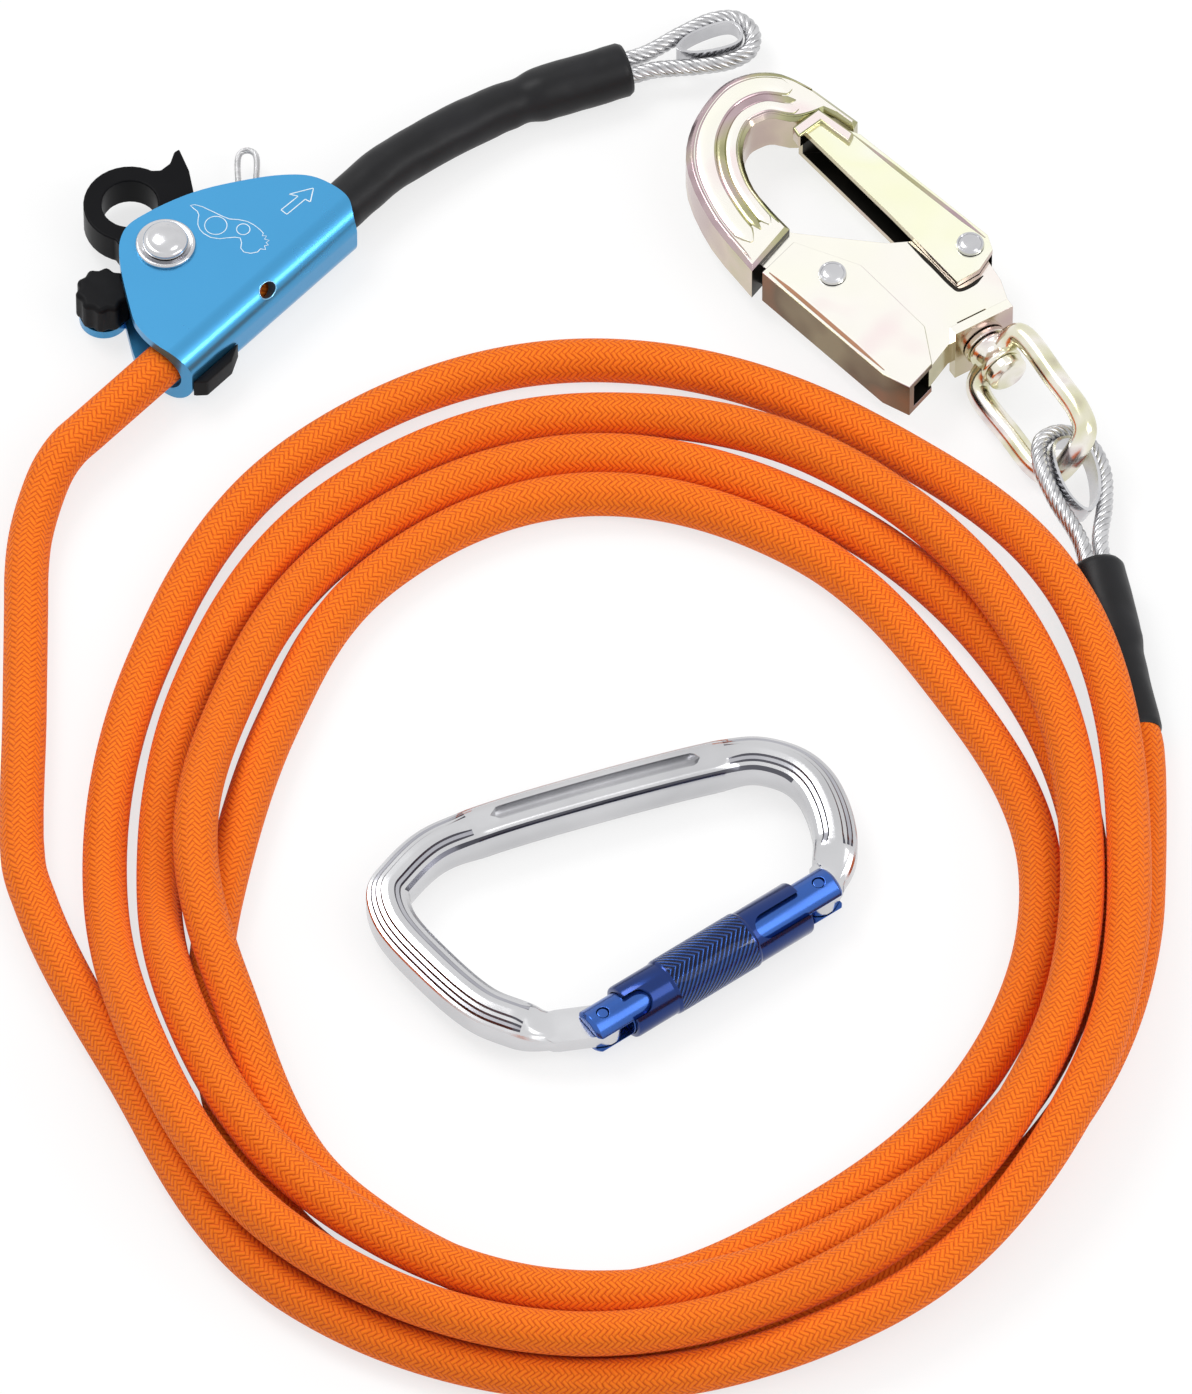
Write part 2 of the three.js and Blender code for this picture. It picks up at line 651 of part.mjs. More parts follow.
// Ferrules pressed on the steel core, the wire eyes that leave them and the thimbles
// in the eyes. Each is drawn along x and then turned to its end of the rope.
function seated(geometry, end, roll) {
  const turned = geometry.clone();
  turned.rotateX(roll * degrees);
  turned.rotateY(-end.pitch * degrees);
  turned.rotateZ(end.yaw * degrees);
  turned.translate(end.x, end.y, end.z);
  return turned;
}
function eyeHalf(length, halfWidth) {
  return [
    [-socketDepth + slip, eyeLegSpread], [0, eyeLegSpread], [length / 5, eyeLegSpread + slip],
    [length / 2, halfWidth * 0.8], [length - halfWidth * 1.15, halfWidth], [length - halfWidth * 0.35,
      halfWidth * 0.76],
  ];
}
function eyeWire(length, halfWidth) {
  const half = eyeHalf(length, halfWidth);
  const there = half.map(([x, y]) => [x, y, 0]);
  const back = half.map(([x, y]) => [x, -y, 0]).reverse();
  return tube(curveOf([...there, [length, 0, 0], ...back]), eyeWireRadius, 8, 40);
}

// Inner edge of the wire's loop: the wire's centre line moved in, from where its legs part
function inside(length, halfWidth, inset) {
  const side = eyeHalf(length, halfWidth).slice(3);
  const near = [length * 0.3 + inset * 1.3, 0];
  const far = [length - inset, 0];
  const flank = side.map(([x, y], i) => [x - (i === 2 ? inset * 0.62 : 0),
    y - inset * (i === 2 ? 0.78 : 1)]);
  const loop = [near, ...flank, far, ...flank.map(([x, y]) => [x, -y]).reverse()];
  const flat = loop.map(([x, y]) => new THREE.Vector3(x, y, 0));
  return new THREE.CatmullRomCurve3(flat, true, 'centripetal').getPoints(36).slice(0,
    -1).map((p) => [p.x, p.y]);
}
function thimble(length, halfWidth) {
  const edge = inside(length, halfWidth, eyeWireRadius + thimbleGap);
  const hole = inside(length, halfWidth, eyeWireRadius + thimbleGap + thimbleWall);
  return cut(
    prism(edge, -thimbleHalfWidth, thimbleHalfWidth),
    prism(hole, -thimbleHalfWidth - overrun, thimbleHalfWidth + overrun),
  );
}
function ferrule() {
  const body = new THREE.CylinderGeometry(ferruleRadius, ferruleRadius, ferruleLength - 2 * slip, 20);
  body.rotateZ(-quarterTurn);
  body.translate(-ferruleLength / 2, 0, 0);
  const sockets = [-eyeLegSpread, eyeLegSpread].map((y) => {
    const socket = new THREE.CylinderGeometry(eyeWireRadius + slip, eyeWireRadius + slip,
      socketDepth + overrun, 12);
    socket.rotateZ(-quarterTurn);
    socket.translate((overrun - socketDepth) / 2, y, 0);
    return socket;
  });
  return cut(body, ...sockets);
}
function endFittings(prefix, end, length, halfWidth, roll) {
  add(assembly, `${prefix}_ferrule`, seated(ferrule(), end, roll), finishes.steel());
  add(assembly, `${prefix}_eye_wire`, seated(eyeWire(length, halfWidth), end, roll), finishes.steel());
  add(assembly, `${prefix}_thimble`, seated(thimble(length, halfWidth), end, roll), finishes.polished());
}
endFittings('upper', upperEnd, upperEyeLength, upperEyeHalfWidth, 0);
endFittings('lower', lowerEnd, lowerEyeLength, lowerEyeHalfWidth, lowerEyeRoll);

// Swivel: the ring on the wire eye, its pin and washer. X runs from the hook to the eye.
const swivel = place(assembly, ...swivelAt, hookMiddle, swivelYaw);
const ringHalfShares = [
  [0, 9], [0, 18.5], [3, 25], [11, 28.2], [50, 27.8], [82, 26.8], [95.5, 21],
];
function ringShape() {
  const half = scaled(ringHalfShares, ringLength);
  const path = [...half, [ringLength, 0], ...half.map(([x, y]) => [x, -y]).reverse()];
  const rod = tube(curveOf(path.map(([x, y]) => [x, y, 0])), ringRod, 10, 36);
  const boss = disc(ringBossRadius, -ringBossHalf, ringBossHalf, 24).rotateY(quarterTurn);
  const bore = disc(swivelPinRadius + slip, -ringBossHalf * 2, ringBossHalf * 2, 24).rotateY(quarterTurn);
  return cut(join(rod, boss), bore).rotateX(ringRoll * degrees);
}
add(swivel, 'swivel_ring', ringShape(), finishes.zinc());
const washerStart = -ringBossHalf - slip;
const tabStart = washerStart - swivelWasherThickness - slip;
const tabEnd = tabStart - tabThickness;
function alongX(profile, sides) {
  return turned(profile, sides).rotateY(quarterTurn);
}
add(swivel, 'swivel_washer', alongX([
  [swivelPinRadius + fit, washerStart - swivelWasherThickness], [swivelWasherRadius,
    washerStart - swivelWasherThickness],
  [swivelWasherRadius, washerStart], [swivelPinRadius + fit, washerStart],
  [swivelPinRadius + fit, washerStart - swivelWasherThickness],
], 24), finishes.zinc());
add(swivel, 'swivel_pin', alongX([
  [0, tabEnd - rivetedEnd - slip], [swivelRivetedRadius, tabEnd - rivetedEnd - slip], [swivelRivetedRadius,
    tabEnd - slip],
  [swivelPinRadius, tabEnd - slip], [swivelPinRadius, ringBossHalf + slip], [swivelHeadRadius,
    ringBossHalf + slip],
  [swivelHeadRadius, ringBossHalf + slip + swivelHeadHeight * 0.7],
  [swivelHeadRadius * 0.7, ringBossHalf + slip + swivelHeadHeight], [0,
    ringBossHalf + slip + swivelHeadHeight],
], 24), finishes.zinc());

// Snap hook. X runs from its nose to the swivel and Y towards the keeper.
const hook = place(assembly, ...leverPivotAt, 0, hookYaw);
const jawOuterShares = [
  [-14.5, -13.4], [-33, -10], [-48.8, -2.6], [-56, 6], [-59.5, 15.8], [-60, 22.6], [-57.5, 29], [-53,
    33.4], [-43, 36],
];
const jawInnerShares = [
  [-17.3, 2.2], [-25, 3], [-33.4, 4.8], [-42.2, 10.3], [-46, 16.5], [-45.6, 20], [-44.5, 22.5], [-39.6,
    26], [-37, 33],
];
const noseShares = [[-29, 37], [-28, 34.6], [-34, 34]];
const plateShares = [
  [-22, 1.6], [-17, 2.6], [-7, 10.4], [1.7, 17.4], [9.6, 27.4], [14.2, 32.6], [17.1, 33.4], [20.4, 32], [29,
    29.5], [35, 26.2],
  [37.4, 24.6], [37.8, 23.7], [34.3, 7.7], [34, 6.5], [36, -2], [17, -7], [4.5, -9.4], [-12, -9.3], [-14.6,
    -9.6], [-22, -9],
];
const keeperShares = [
  [-38.1, 25.6], [-33.3, 31.5], [-25.6, 34.6], [18, 35.7], [22, 33.5], [24, 27], [23, 20.4], [-2.7, 22.9],
];
const lockLeverShares = [
  [-13.6, 0], [-12.4, -12], [30.3, -12.3], [37.6, -10.3], [36.3, -1.3], [27, 5.3], [3, 7],
];
const plateLow = hookMiddle - hookPlateThickness / 2;
const plateHigh = hookMiddle + hookPlateThickness / 2;
const sheetLow = plateLow - slip - sheetWall;
const sheetHigh = plateHigh + slip + sheetWall;
const keeperPivotShares = [17.13, 30.52];
const keeperPivot = scaledPoint(keeperPivotShares, hookLength);
function jaw() {
  const outer = rounded(scaled(jawOuterShares, hookLength), 26);
  const inner = rounded(scaled(jawInnerShares, hookLength), 26);
  const outline = [...outer, ...scaled(noseShares, hookLength), ...[...inner].reverse()];
  const low = hookMiddle - hookBarThickness / 2;
  const high = hookMiddle + hookBarThickness / 2;
  const between = (i, share) => [0, 1].map((k) => outer[i][k] + (inner[i][k] - outer[i][k]) * share);
  const groove = [];
  const share = rimWidth / hookBarThickness;
  for (let i = 2; i < outer.length - 4; i += 1) groove.push(between(i, share));
  for (let i = outer.length - 5; i > 1; i -= 1) groove.push(between(i, 1 - share));
  return cut(
    bevelled(outline, low, high, rimDepth),
    prism(groove, high - rimDepth, high + overrun),
    prism(groove, low - overrun, low + rimDepth),
  );
}
function hookBody() {
  const tab = prism(
    [[0, -tabWidth / 2], [0, tabWidth / 2], [-tabThickness, tabWidth / 2], [-tabThickness, -tabWidth / 2]],
    sheetWall, hookDepth - sheetWall);
  const clearance = swivelRivetedRadius + rivetRoom;
  const bore = alongX([
    [0, tabEnd - rivetedEnd - 2 * slip - rivetRoom], [clearance,
      tabEnd - rivetedEnd - 2 * slip - rivetRoom], [clearance, tabEnd],
    [swivelPinRadius + fit, tabEnd], [swivelPinRadius + fit, tabStart + overrun], [0, tabStart + overrun],
  ], 24);
  const toHook = (geometry, x, z) => geometry.translate(x, 0, z).rotateZ((swivelYaw - hookYaw) * degrees)
    .translate(...swivelInHook, 0);
  const plate = prism(scaled(plateShares, hookLength), plateLow, plateHigh);
  const body = join(plate, jaw(), toHook(tab, tabStart, 0));
  return cut(
    body,
    toHook(bore, 0, hookMiddle),
    disc(hookRivetRadius + fit, 0, hookDepth, 20, ...keeperPivot),
    disc(hookRivetRadius + fit, 0, hookDepth, 20, 0, 0),
  );
}
add(hook, 'hook_body', hookBody(), finishes.zinc());
function folded(shares, shiftX, shiftY, pivot) {
  const outline = scaled(shares, hookLength);
  return cut(
    prism(outline, sheetLow, sheetHigh),
    prism(shifted(outline, 0, shiftY), plateLow - slip, plateHigh + slip),
    prism(shifted(outline, shiftX, shiftY), plateLow - slip, plateHigh + slip),
    disc(hookRivetRadius + slip, 0, hookDepth, 20, ...pivot),
  );
}
add(hook, 'hook_keeper', folded(keeperShares, 3 * sheetWall, -sheetWall - slip, keeperPivot),
  finishes.zinc());
add(hook, 'lock_lever', folded(lockLeverShares, -3 * sheetWall, sheetWall + slip, [0, 0]), finishes.zinc());
function rivet() {
  const high = sheetHigh + slip;
  const low = sheetLow - slip;
  return turned([
    [0, low - hookRivetHeadHeight], [hookRivetHeadRadius * 0.8,
      low - hookRivetHeadHeight], [hookRivetHeadRadius, low],
    [hookRivetRadius, low], [hookRivetRadius, high], [hookRivetHeadRadius, high],
    [hookRivetHeadRadius * 0.8, high + hookRivetHeadHeight], [0, high + hookRivetHeadHeight],
  ], 20);
}
add(hook, 'keeper_rivet', rivet().translate(...keeperPivot, 0), finishes.steel());
add(hook, 'lever_rivet', rivet(), finishes.steel());

// A spring wound from its wire, its axis along Y
function spring(x, y, z, length, radius, wire, turns) {
  const points = [];
  const perTurn = 8;
  for (let i = 0; i <= turns * perTurn; i += 1) {
    const angle = i * 360 / perTurn * degrees;
    points.push([radius * Math.cos(angle), wire + (length - 2 * wire) * i / (turns * perTurn),
      radius * Math.sin(angle)]);
  }
  return tube(curveOf(points), wire, 5, turns * perTurn).translate(x, y, z);
}
// Each small spring stands between the hook's plate and the inside of its sheet: along, from, to
const keeperSpringShares = [6.09, 26.26, 35.4];
const [keeperSpringAlong, keeperSpringFrom,
  keeperInside] = keeperSpringShares.map((s) => s * hookLength / 100);
const keeperSpringLength = keeperInside - sheetWall - 2 * slip - keeperSpringFrom;
add(hook, 'keeper_spring', spring(keeperSpringAlong, keeperSpringFrom, hookMiddle, keeperSpringLength,
  smallSpringRadius, smallSpringWire, 4), finishes.steel());
const leverSpringShares = [22.6, -12.25, -5.53];
const [leverSpringAlong, leverOutside, plateEdge] = leverSpringShares.map((s) => s * hookLength / 100);
const leverSpringFrom = leverOutside + sheetWall + 3 * slip;
const leverSpringLength = plateEdge - 3 * slip - leverSpringFrom;
add(hook, 'lever_spring', spring(leverSpringAlong, leverSpringFrom, hookMiddle, leverSpringLength,
  smallSpringRadius, smallSpringWire, 2), finishes.steel());

// Carabiner, lying loose inside the coil. Its own frame lies flat; X along its spine.
const carabiner = place(assembly, ...carabinerAt, gateSleeveRadius - frameThickness / 2, carabinerYaw);
const carabinerMiddle = frameThickness / 2;
const spineShares = [
  [-21.5, -27], [-25, -25.6], [-29.5, -22], [-34.1, -17.2], [-40, -5], [-44, 8], [-43, 15], [-39.9, 17.8],
  [-31.1, 22.7], [-19.9, 24.1], [5.1, 24.5], [28.5, 23.8], [37, 22.9], [41.5, 20.5], [45, 17], [47,
    12.5], [47.6, 8],
  [47.4, 2.6], [46.2, -3], [44, -7.5], [41.5, -10.4],
];
const hingePinShares = [-12.32, -28.62];
const nosePinShares = [39.13, -12.75];
const slotShares = [[-15.94, 24.35], [24.64, 24.35]];
const hingePin = scaledPoint(hingePinShares, carabinerLength);
const nosePin = scaledPoint(nosePinShares, carabinerLength);
const gateYaw = Math.atan2(nosePin[1] - hingePin[1], nosePin[0] - hingePin[0]) / degrees;
const gateLength = Math.hypot(nosePin[0] - hingePin[0], nosePin[1] - hingePin[1]);
const tangLow = carabinerMiddle - tangThickness / 2;
const tangHigh = carabinerMiddle + tangThickness / 2;

function spineSection() {
  const halfHigh = frameThickness / 2;
  const halfWide = frameWidth / 2;
  const cornerHigh = halfHigh - frameChamfer;
  const cornerWide = halfWide - frameChamfer;
  return [
    [-halfHigh, -cornerWide], [-cornerHigh, -halfWide], [cornerHigh, -halfWide], [halfHigh, -cornerWide],
    [halfHigh, cornerWide], [cornerHigh, halfWide], [-cornerHigh, halfWide], [-halfHigh, cornerWide],
  ];
}
function capsule(from, to, radius, low, high) {
  const turn = Math.atan2(to[1] - from[1], to[0] - from[0]) / degrees;
  return prism([...arc(...to, radius, turn - 90, turn + 90, 8),
    ...arc(...from, radius, turn + 90, turn + 270, 8)], low, high);
}
function carabinerFrame() {
  const line = scaled(spineShares, carabinerLength).map(([x, y]) => [x, y, carabinerMiddle]);
  const bar = new THREE.ExtrudeGeometry(shapeOf(spineSection()), {
    steps: 44, extrudePath: curveOf(line), bevelEnabled: false,
  });
  const slotEnds = scaled(slotShares, carabinerLength);
  const slot = capsule(...slotEnds, slotWidth / 2, frameThickness - slotDepth, frameThickness + overrun);
  const backSlot = capsule(...slotEnds, slotWidth / 2, -overrun, slotDepth);
  const hingeTang = capsule(line[0].slice(0, 2), hingePin, tangRadius, tangLow, tangHigh);
  const noseTang = capsule(line[line.length - 1].slice(0, 2), nosePin, tangRadius, tangLow, tangHigh);
  const noseSlot = capsule(nosePin, [nosePin[0] - gateSlotLean, nosePin[1] + 2 * tangRadius],
    gatePinRadius + 2 * fit, 0, frameThickness);
  const swing = [];
  for (let angle = 0; angle <= gateSwing; angle += gateSwing / 5) {
    const room = disc(gateRadius + 2 * slip, 0, gateLength + forkReach + slip, 24).rotateY(quarterTurn);
    swing.push(room.rotateZ((gateYaw + angle) * degrees).translate(...hingePin, carabinerMiddle));
  }
  const hingeRoom = disc(Math.hypot(gateRadius, forkReach) + 2 * slip, -overrun, frameThickness + overrun,
    24, ...hingePin);
  const body = cut(bar, slot, backSlot, hingeRoom, ...swing);
  return cut(join(body, hingeTang, noseTang), disc(gatePinRadius + fit, 0, frameThickness, 16, ...hingePin),
    noseSlot);
}
add(carabiner, 'carabiner_frame', carabinerFrame(), finishes.polished());

// Gate: X runs from the hinge pin to the nose
const gate = place(carabiner, ...hingePin, carabinerMiddle, gateYaw);
const forkEnd = tangRadius + tangRoom;
function gateBarrel() {
  const groove = sleeveSpringDepth;
  const barrel = alongX([
    [0, -forkReach], [gateRadius - barrelEase, -forkReach], [gateRadius, barrelEase - forkReach],
    [gateRadius, sleeveSpringFrom], [gateRadius - groove, sleeveSpringFrom],
    [gateRadius - groove, sleeveSpringTo], [gateRadius, sleeveSpringTo],
    [gateRadius, gateLength + forkReach - barrelEase], [gateRadius - barrelEase, gateLength + forkReach],
    [0, gateLength + forkReach],
  ], 24);
  const slotHalf = tangThickness / 2 + tangGap;
  const forkSlot = (from, to) => prism([
    [from, -gateRadius - overrun], [to, -gateRadius - overrun], [to, gateRadius + overrun], [from,
      gateRadius + overrun],
  ], -slotHalf, slotHalf);
  const springBore = disc(gateSpringRadius + fit, forkEnd, forkEnd + gateSpringLength,
    12).rotateY(quarterTurn);
  return cut(
    barrel,
    forkSlot(-forkReach - overrun, forkEnd),
    forkSlot(gateLength - forkEnd, gateLength + forkReach + overrun),
    springBore,
    disc(gatePinRadius + fit, -gateRadius, gateRadius, 16),
    disc(gatePinRadius + fit, -gateRadius, gateRadius, 16, gateLength, 0),
  );
}
add(gate, 'gate_barrel', gateBarrel(), finishes.blueAlloy());
const knurlShares = [28.26, 65.95];
function gateSleeve() {
  const bore = gateRadius + fit;
  const end = gateLength - sleeveInset;
  const [knurlFrom, knurlTo] = knurlShares.map((share) => share * gateLength / 100);
  const eased = gateWingRadius - sleeveStep;
  const profile = [
    [bore, sleeveInset], [eased, sleeveInset], [gateWingRadius, sleeveInset + sleeveEase],
    [gateWingRadius, knurlFrom], [gateSleeveRadius, knurlFrom + sleeveStep],
    [gateSleeveRadius, knurlTo - sleeveStep], [gateWingRadius, knurlTo],
    [gateWingRadius, end - sleeveEase], [eased, end], [bore, end], [bore, sleeveInset],
  ];
  return alongX(profile, 24);
}
add(gate, 'gate_sleeve', gateSleeve(), finishes.blueAlloy());
const pinReach = Math.sqrt(gateRadius ** 2 - gatePinRadius ** 2) - slip;
add(gate, 'gate_hinge_pin', disc(gatePinRadius, -pinReach, pinReach, 16), finishes.steel());
add(gate, 'gate_nose_pin', disc(gatePinRadius, -pinReach, pinReach, 16, gateLength, 0), finishes.steel());
const turnToX = -quarterTurn;
add(gate, 'gate_spring', spring(0, 0, 0, gateSpringLength - 2 * slip, gateSpringRadius - smallSpringWire,
  smallSpringWire, 5)
  .rotateZ(turnToX).translate(forkEnd + slip, 0, 0), finishes.steel());
add(gate, 'sleeve_spring', spring(0, 0, 0, sleeveSpringTo - sleeveSpringFrom - 2 * slip,
  gateRadius - sleeveSpringDepth + smallSpringWire + 2 * slip, smallSpringWire, 3)
  .rotateZ(turnToX).translate(sleeveSpringFrom + slip, 0, 0), finishes.steel());
export default assembly;
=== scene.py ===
"""Looks of the rope grab assembly: camera, rope, metalwork and light, in metres."""
from math import atan2, cos, degrees, exp, hypot, pi, radians, sin, sqrt

import bmesh
import bpy
import numpy as np
from mathutils import Matrix, Vector, noise


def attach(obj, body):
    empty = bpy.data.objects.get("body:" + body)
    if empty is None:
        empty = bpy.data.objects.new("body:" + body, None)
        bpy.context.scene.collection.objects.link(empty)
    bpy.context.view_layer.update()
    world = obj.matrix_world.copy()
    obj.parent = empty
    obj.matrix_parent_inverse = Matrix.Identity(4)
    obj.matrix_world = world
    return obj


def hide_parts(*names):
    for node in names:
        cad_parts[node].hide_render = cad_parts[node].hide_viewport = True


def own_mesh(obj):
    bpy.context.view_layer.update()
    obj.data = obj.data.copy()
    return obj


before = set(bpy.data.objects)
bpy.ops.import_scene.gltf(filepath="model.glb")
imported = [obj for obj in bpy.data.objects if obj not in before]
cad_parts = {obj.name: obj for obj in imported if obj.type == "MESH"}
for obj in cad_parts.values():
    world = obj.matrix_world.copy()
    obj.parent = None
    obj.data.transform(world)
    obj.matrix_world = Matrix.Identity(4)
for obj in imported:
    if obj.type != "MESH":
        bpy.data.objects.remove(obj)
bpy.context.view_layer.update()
MM, TENTH, MICRON = 0.001, 0.0001, 0.000001


def added(name, data):
    """A new object in the scene."""
    obj = bpy.data.objects.new(name, data)
    bpy.context.scene.collection.objects.link(obj)
    return obj


# Camera: level with the photograph's, 55 degrees up, through a long lens
VIEW_WIDTH = 0.3338
DISTANCE = 8.0
LOOK_AT = Vector((0.1049, -0.1259, 0.0))
ELEVATION = radians(55)
SENSOR = 36.0
camera_data = bpy.data.cameras.new("camera")
camera_data.sensor_fit = "HORIZONTAL"
camera_data.sensor_width = SENSOR
camera_data.lens = SENSOR * DISTANCE / VIEW_WIDTH
camera_data.clip_end = 40
camera = added("camera", camera_data)
camera.location = LOOK_AT + DISTANCE * Vector((0, -cos(ELEVATION), sin(ELEVATION)))
camera.rotation_euler = (pi / 2 - ELEVATION, 0, 0)
bpy.context.scene.camera = camera


# Curves
def catmull_rom(points, per_piece):
    """Centripetal Catmull-Rom through the points, its ends carried on straight."""
    pts = [np.array(p, float) for p in points]
    pts = [2 * pts[0] - pts[1]] + pts + [2 * pts[-1] - pts[-2]]
    out = []
    for i in range(1, len(pts) - 2):
        p0, p1, p2, p3 = pts[i - 1:i + 3]
        t01, t12, t23 = (max(np.linalg.norm(b - a), 1e-9) ** 0.5 for a, b in ((p0, p1), (p1, p2), (p2, p3)))
        m1 = (p1 - p0) / t01 - (p2 - p0) / (t01 + t12) + (p2 - p1) / t12
        m2 = (p2 - p1) / t12 - (p3 - p1) / (t12 + t23) + (p3 - p2) / t23
        m1, m2 = m1 * t12, m2 * t12
        for k in range(per_piece):
            t = k / per_piece
            out.append((2 * t**3 - 3 * t**2 + 1) * p1 + (t**3 - 2 * t**2 + t) * m1
                       + (3 * t**2 - 2 * t**3) * p2 + (t**3 - t**2) * m2)
    out.append(pts[-2])
    return np.array(out)


def arc_length(path):
    return np.concatenate([[0], np.cumsum(np.linalg.norm(np.diff(path, axis=0), axis=1))])


def even(path, step, start=0.0, end=None):
    """The path between two distances along it, at about even steps."""
    along = arc_length(path)
    end = along[-1] if end is None else end
    count = max(2, int(round((end - start) / step)) + 1)
    at = np.linspace(start, end, count)
    return np.stack([np.interp(at, along, path[:, k]) for k in range(3)], axis=1)


def unit(rows):
    return rows / np.linalg.norm(rows, axis=1, keepdims=True)


def headings(points, closed=False):
    """The way ahead at each point."""
    return unit(np.roll(points, -1, axis=0) - np.roll(points, 1, axis=0) if closed else np.gradient(points, axis=0))


def frames(path):
    """Side and lift at each point of a path; the lift stays as near up as it can."""
    tangent = headings(path)
    side = unit(np.cross((0, 0, 1), tangent))
    return side, np.cross(tangent, side)


def round_turn(count):
    """Even angles once round."""
    return np.linspace(0, 2 * pi, count, endpoint=False)


def between(a, b, share):
    """The point a share of the way from one point to another."""
    return tuple(p + (q - p) * share for p, q in zip(a, b))


def smooth_step(low, high, value):
    t = min(1.0, max(0.0, (value - low) / (high - low)))
    return t * t * (3 - 2 * t)


def of_length(shares, length):
    """Points written in hundredths of a length."""
    return [(x * length / 100, y * length / 100) for x, y in shares]


def in_steps(points, step=TENTH):
    """Points written in tenths of a millimetre, or in another step."""
    return [tuple(v * step for v in p) for p in points]


def arc_points(x, y, radius, start, end, count):
    turns = [radians(start + (end - start) * i / count) for i in range(count + 1)]
    return [(x + radius * cos(turn), y + radius * sin(turn)) for turn in turns]


def oval(x, y, across, along, sides=40):
    return [(x + across * cos(a), y + along * sin(a)) for a in round_turn(sides)]


def capsule(start, end, radius, count=10):
    turn = degrees(atan2(end[1] - start[1], end[0] - start[0]))
    return (arc_points(*end, radius, turn - 90, turn + 90, count)
            + arc_points(*start, radius, turn + 90, turn + 270, count))


# Meshes
def piece(name, verts, faces, smooth=True, uv=None):
    mesh = bpy.data.meshes.new(name)
    mesh.from_pydata([tuple(v) for v in verts], [], faces)
    if uv is not None:
        layer = mesh.uv_layers.new(name="along").data
        for loop, pair in zip(layer, uv):
            loop.uv = pair
    mesh.validate()
    obj = added(name, mesh)
    return smoothed(obj) if smooth else obj


def smoothed(obj):
    obj.data.polygons.foreach_set("use_smooth", [True] * len(obj.data.polygons))
    return obj


def skin(path, rings, closed_ends=True, loop=False):
    """Points, faces and UVs over rings of points: rings is (steps, sides, 3)."""
    steps, sides, _ = rings.shape
    along = arc_length(path)
    faces, uv = [], []
    for i in range(steps if loop else steps - 1):
        n = (i + 1) % steps
        for j in range(sides):
            k = (j + 1) % sides
            faces.append((i * sides + j, i * sides + k, n * sides + k, n * sides + j))
            v0, v1 = along[i], along[n] if n else along[-1]
            u0, u1 = j / sides, (j + 1) / sides
            uv += [(u0, v0), (u1, v0), (u1, v1), (u0, v1)]
    if closed_ends and not loop:
        faces.append(tuple(reversed(range(sides))))
        faces.append(tuple((steps - 1) * sides + j for j in range(sides)))
        for end in (0, -1):
            uv += [(0.5, along[end])] * sides
    return rings.reshape(-1, 3), faces, uv


def tube(path, radius, sides):
    """Rings round a path; radius is one number, or one for each point of each ring."""
    side, lift = frames(path)
    angle = round_turn(sides)
    reach = np.broadcast_to(np.asarray(radius, float), (len(path), sides))
    return (path[:, None] + reach[..., None] * (np.cos(angle)[:, None] * side[:, None]
                                                + np.sin(angle)[:, None] * lift[:, None]))


def join(name, parts, smooth=True):
    """One object from several parts: points, faces and whatever else."""
    verts, faces = [], []
    for points, sides, *_ in parts:
        faces += [tuple(len(verts) + i for i in side) for side in sides]
        verts += list(points)
    return piece(name, verts, faces, smooth)


def moved(points, matrix):
    return [tuple(matrix @ Vector(p)) for p in points]


def place_at(x, y, z=0, yaw=0):
    return Matrix.Translation((x, y, z)) @ Matrix.Rotation(radians(yaw), 4, "Z")


def flat_line(points, z, half, closed=False):
    """A level strip along points (n, 2); half its width is one number, or one for each point."""
    along = headings(points, closed)
    across = np.stack([-along[:, 1], along[:, 0]], axis=1) * half
    count = len(points)
    flat = np.vstack([points + across, points - across])
    faces = [(i, count + i, count + (i + 1) % count, (i + 1) % count) for i in range(count if closed else count - 1)]
    return np.hstack([flat, np.full((2 * count, 1), z)]), faces


def prism(outline, low, high, matrix=None):
    """A closed block over an outline."""
    count = len(outline)
    area = sum(a[0] * b[1] - b[0] * a[1] for a, b in zip(outline, outline[1:] + outline[:1]))
    ring = outline if area > 0 else outline[::-1]
    verts = [(x, y, low) for x, y in ring] + [(x, y, high) for x, y in ring]
    faces = [tuple(reversed(range(count))), tuple(range(count, 2 * count))]
    faces += [(i, (i + 1) % count, count + (i + 1) % count, count + i) for i in range(count)]
    return (moved(verts, matrix) if matrix else verts), faces


def lathe(profile, sides, matrix):
    """A closed turned form: profile is (radius, height) from axis to axis, or a closed loop."""
    count = len(profile)
    verts, faces = [], []
    for angle in (2 * pi * i / sides for i in range(sides)):
        verts += [(r * cos(angle), r * sin(angle), h) for r, h in profile]
    for i in range(sides):
        n = (i + 1) % sides
        faces += [(i * count + j, n * count + j, n * count + j + 1, i * count + j + 1) for j in range(count - 1)]
    return moved(verts, matrix), faces


def rod(start, end, radius, sides, matrix):
    """A closed round bar between two points."""
    path = np.array([start, end], float)
    verts, faces, _ = skin(path, tube(path, radius, sides))
    return moved(verts, matrix), faces


def reworked(obj, change):
    """The object, its mesh changed through bmesh."""
    work = bmesh.new()
    work.from_mesh(obj.data)
    change(work)
    work.to_mesh(obj.data)
    work.free()
    return obj


def welded(obj, distance):
    return reworked(obj, lambda work: bmesh.ops.remove_doubles(work, verts=work.verts, dist=distance))


def fixed_normals(obj):
    return reworked(obj, lambda work: bmesh.ops.recalc_face_normals(work, faces=work.faces))


def sharp_by_angle(obj, angle):
    """Edges steeper than an angle, and open edges, shade sharp."""
    limit = radians(angle)

    def change(work):
        for edge in work.edges:
            edge.smooth = len(edge.link_faces) == 2 and edge.calc_face_angle(pi) < limit
    return reworked(obj, change)


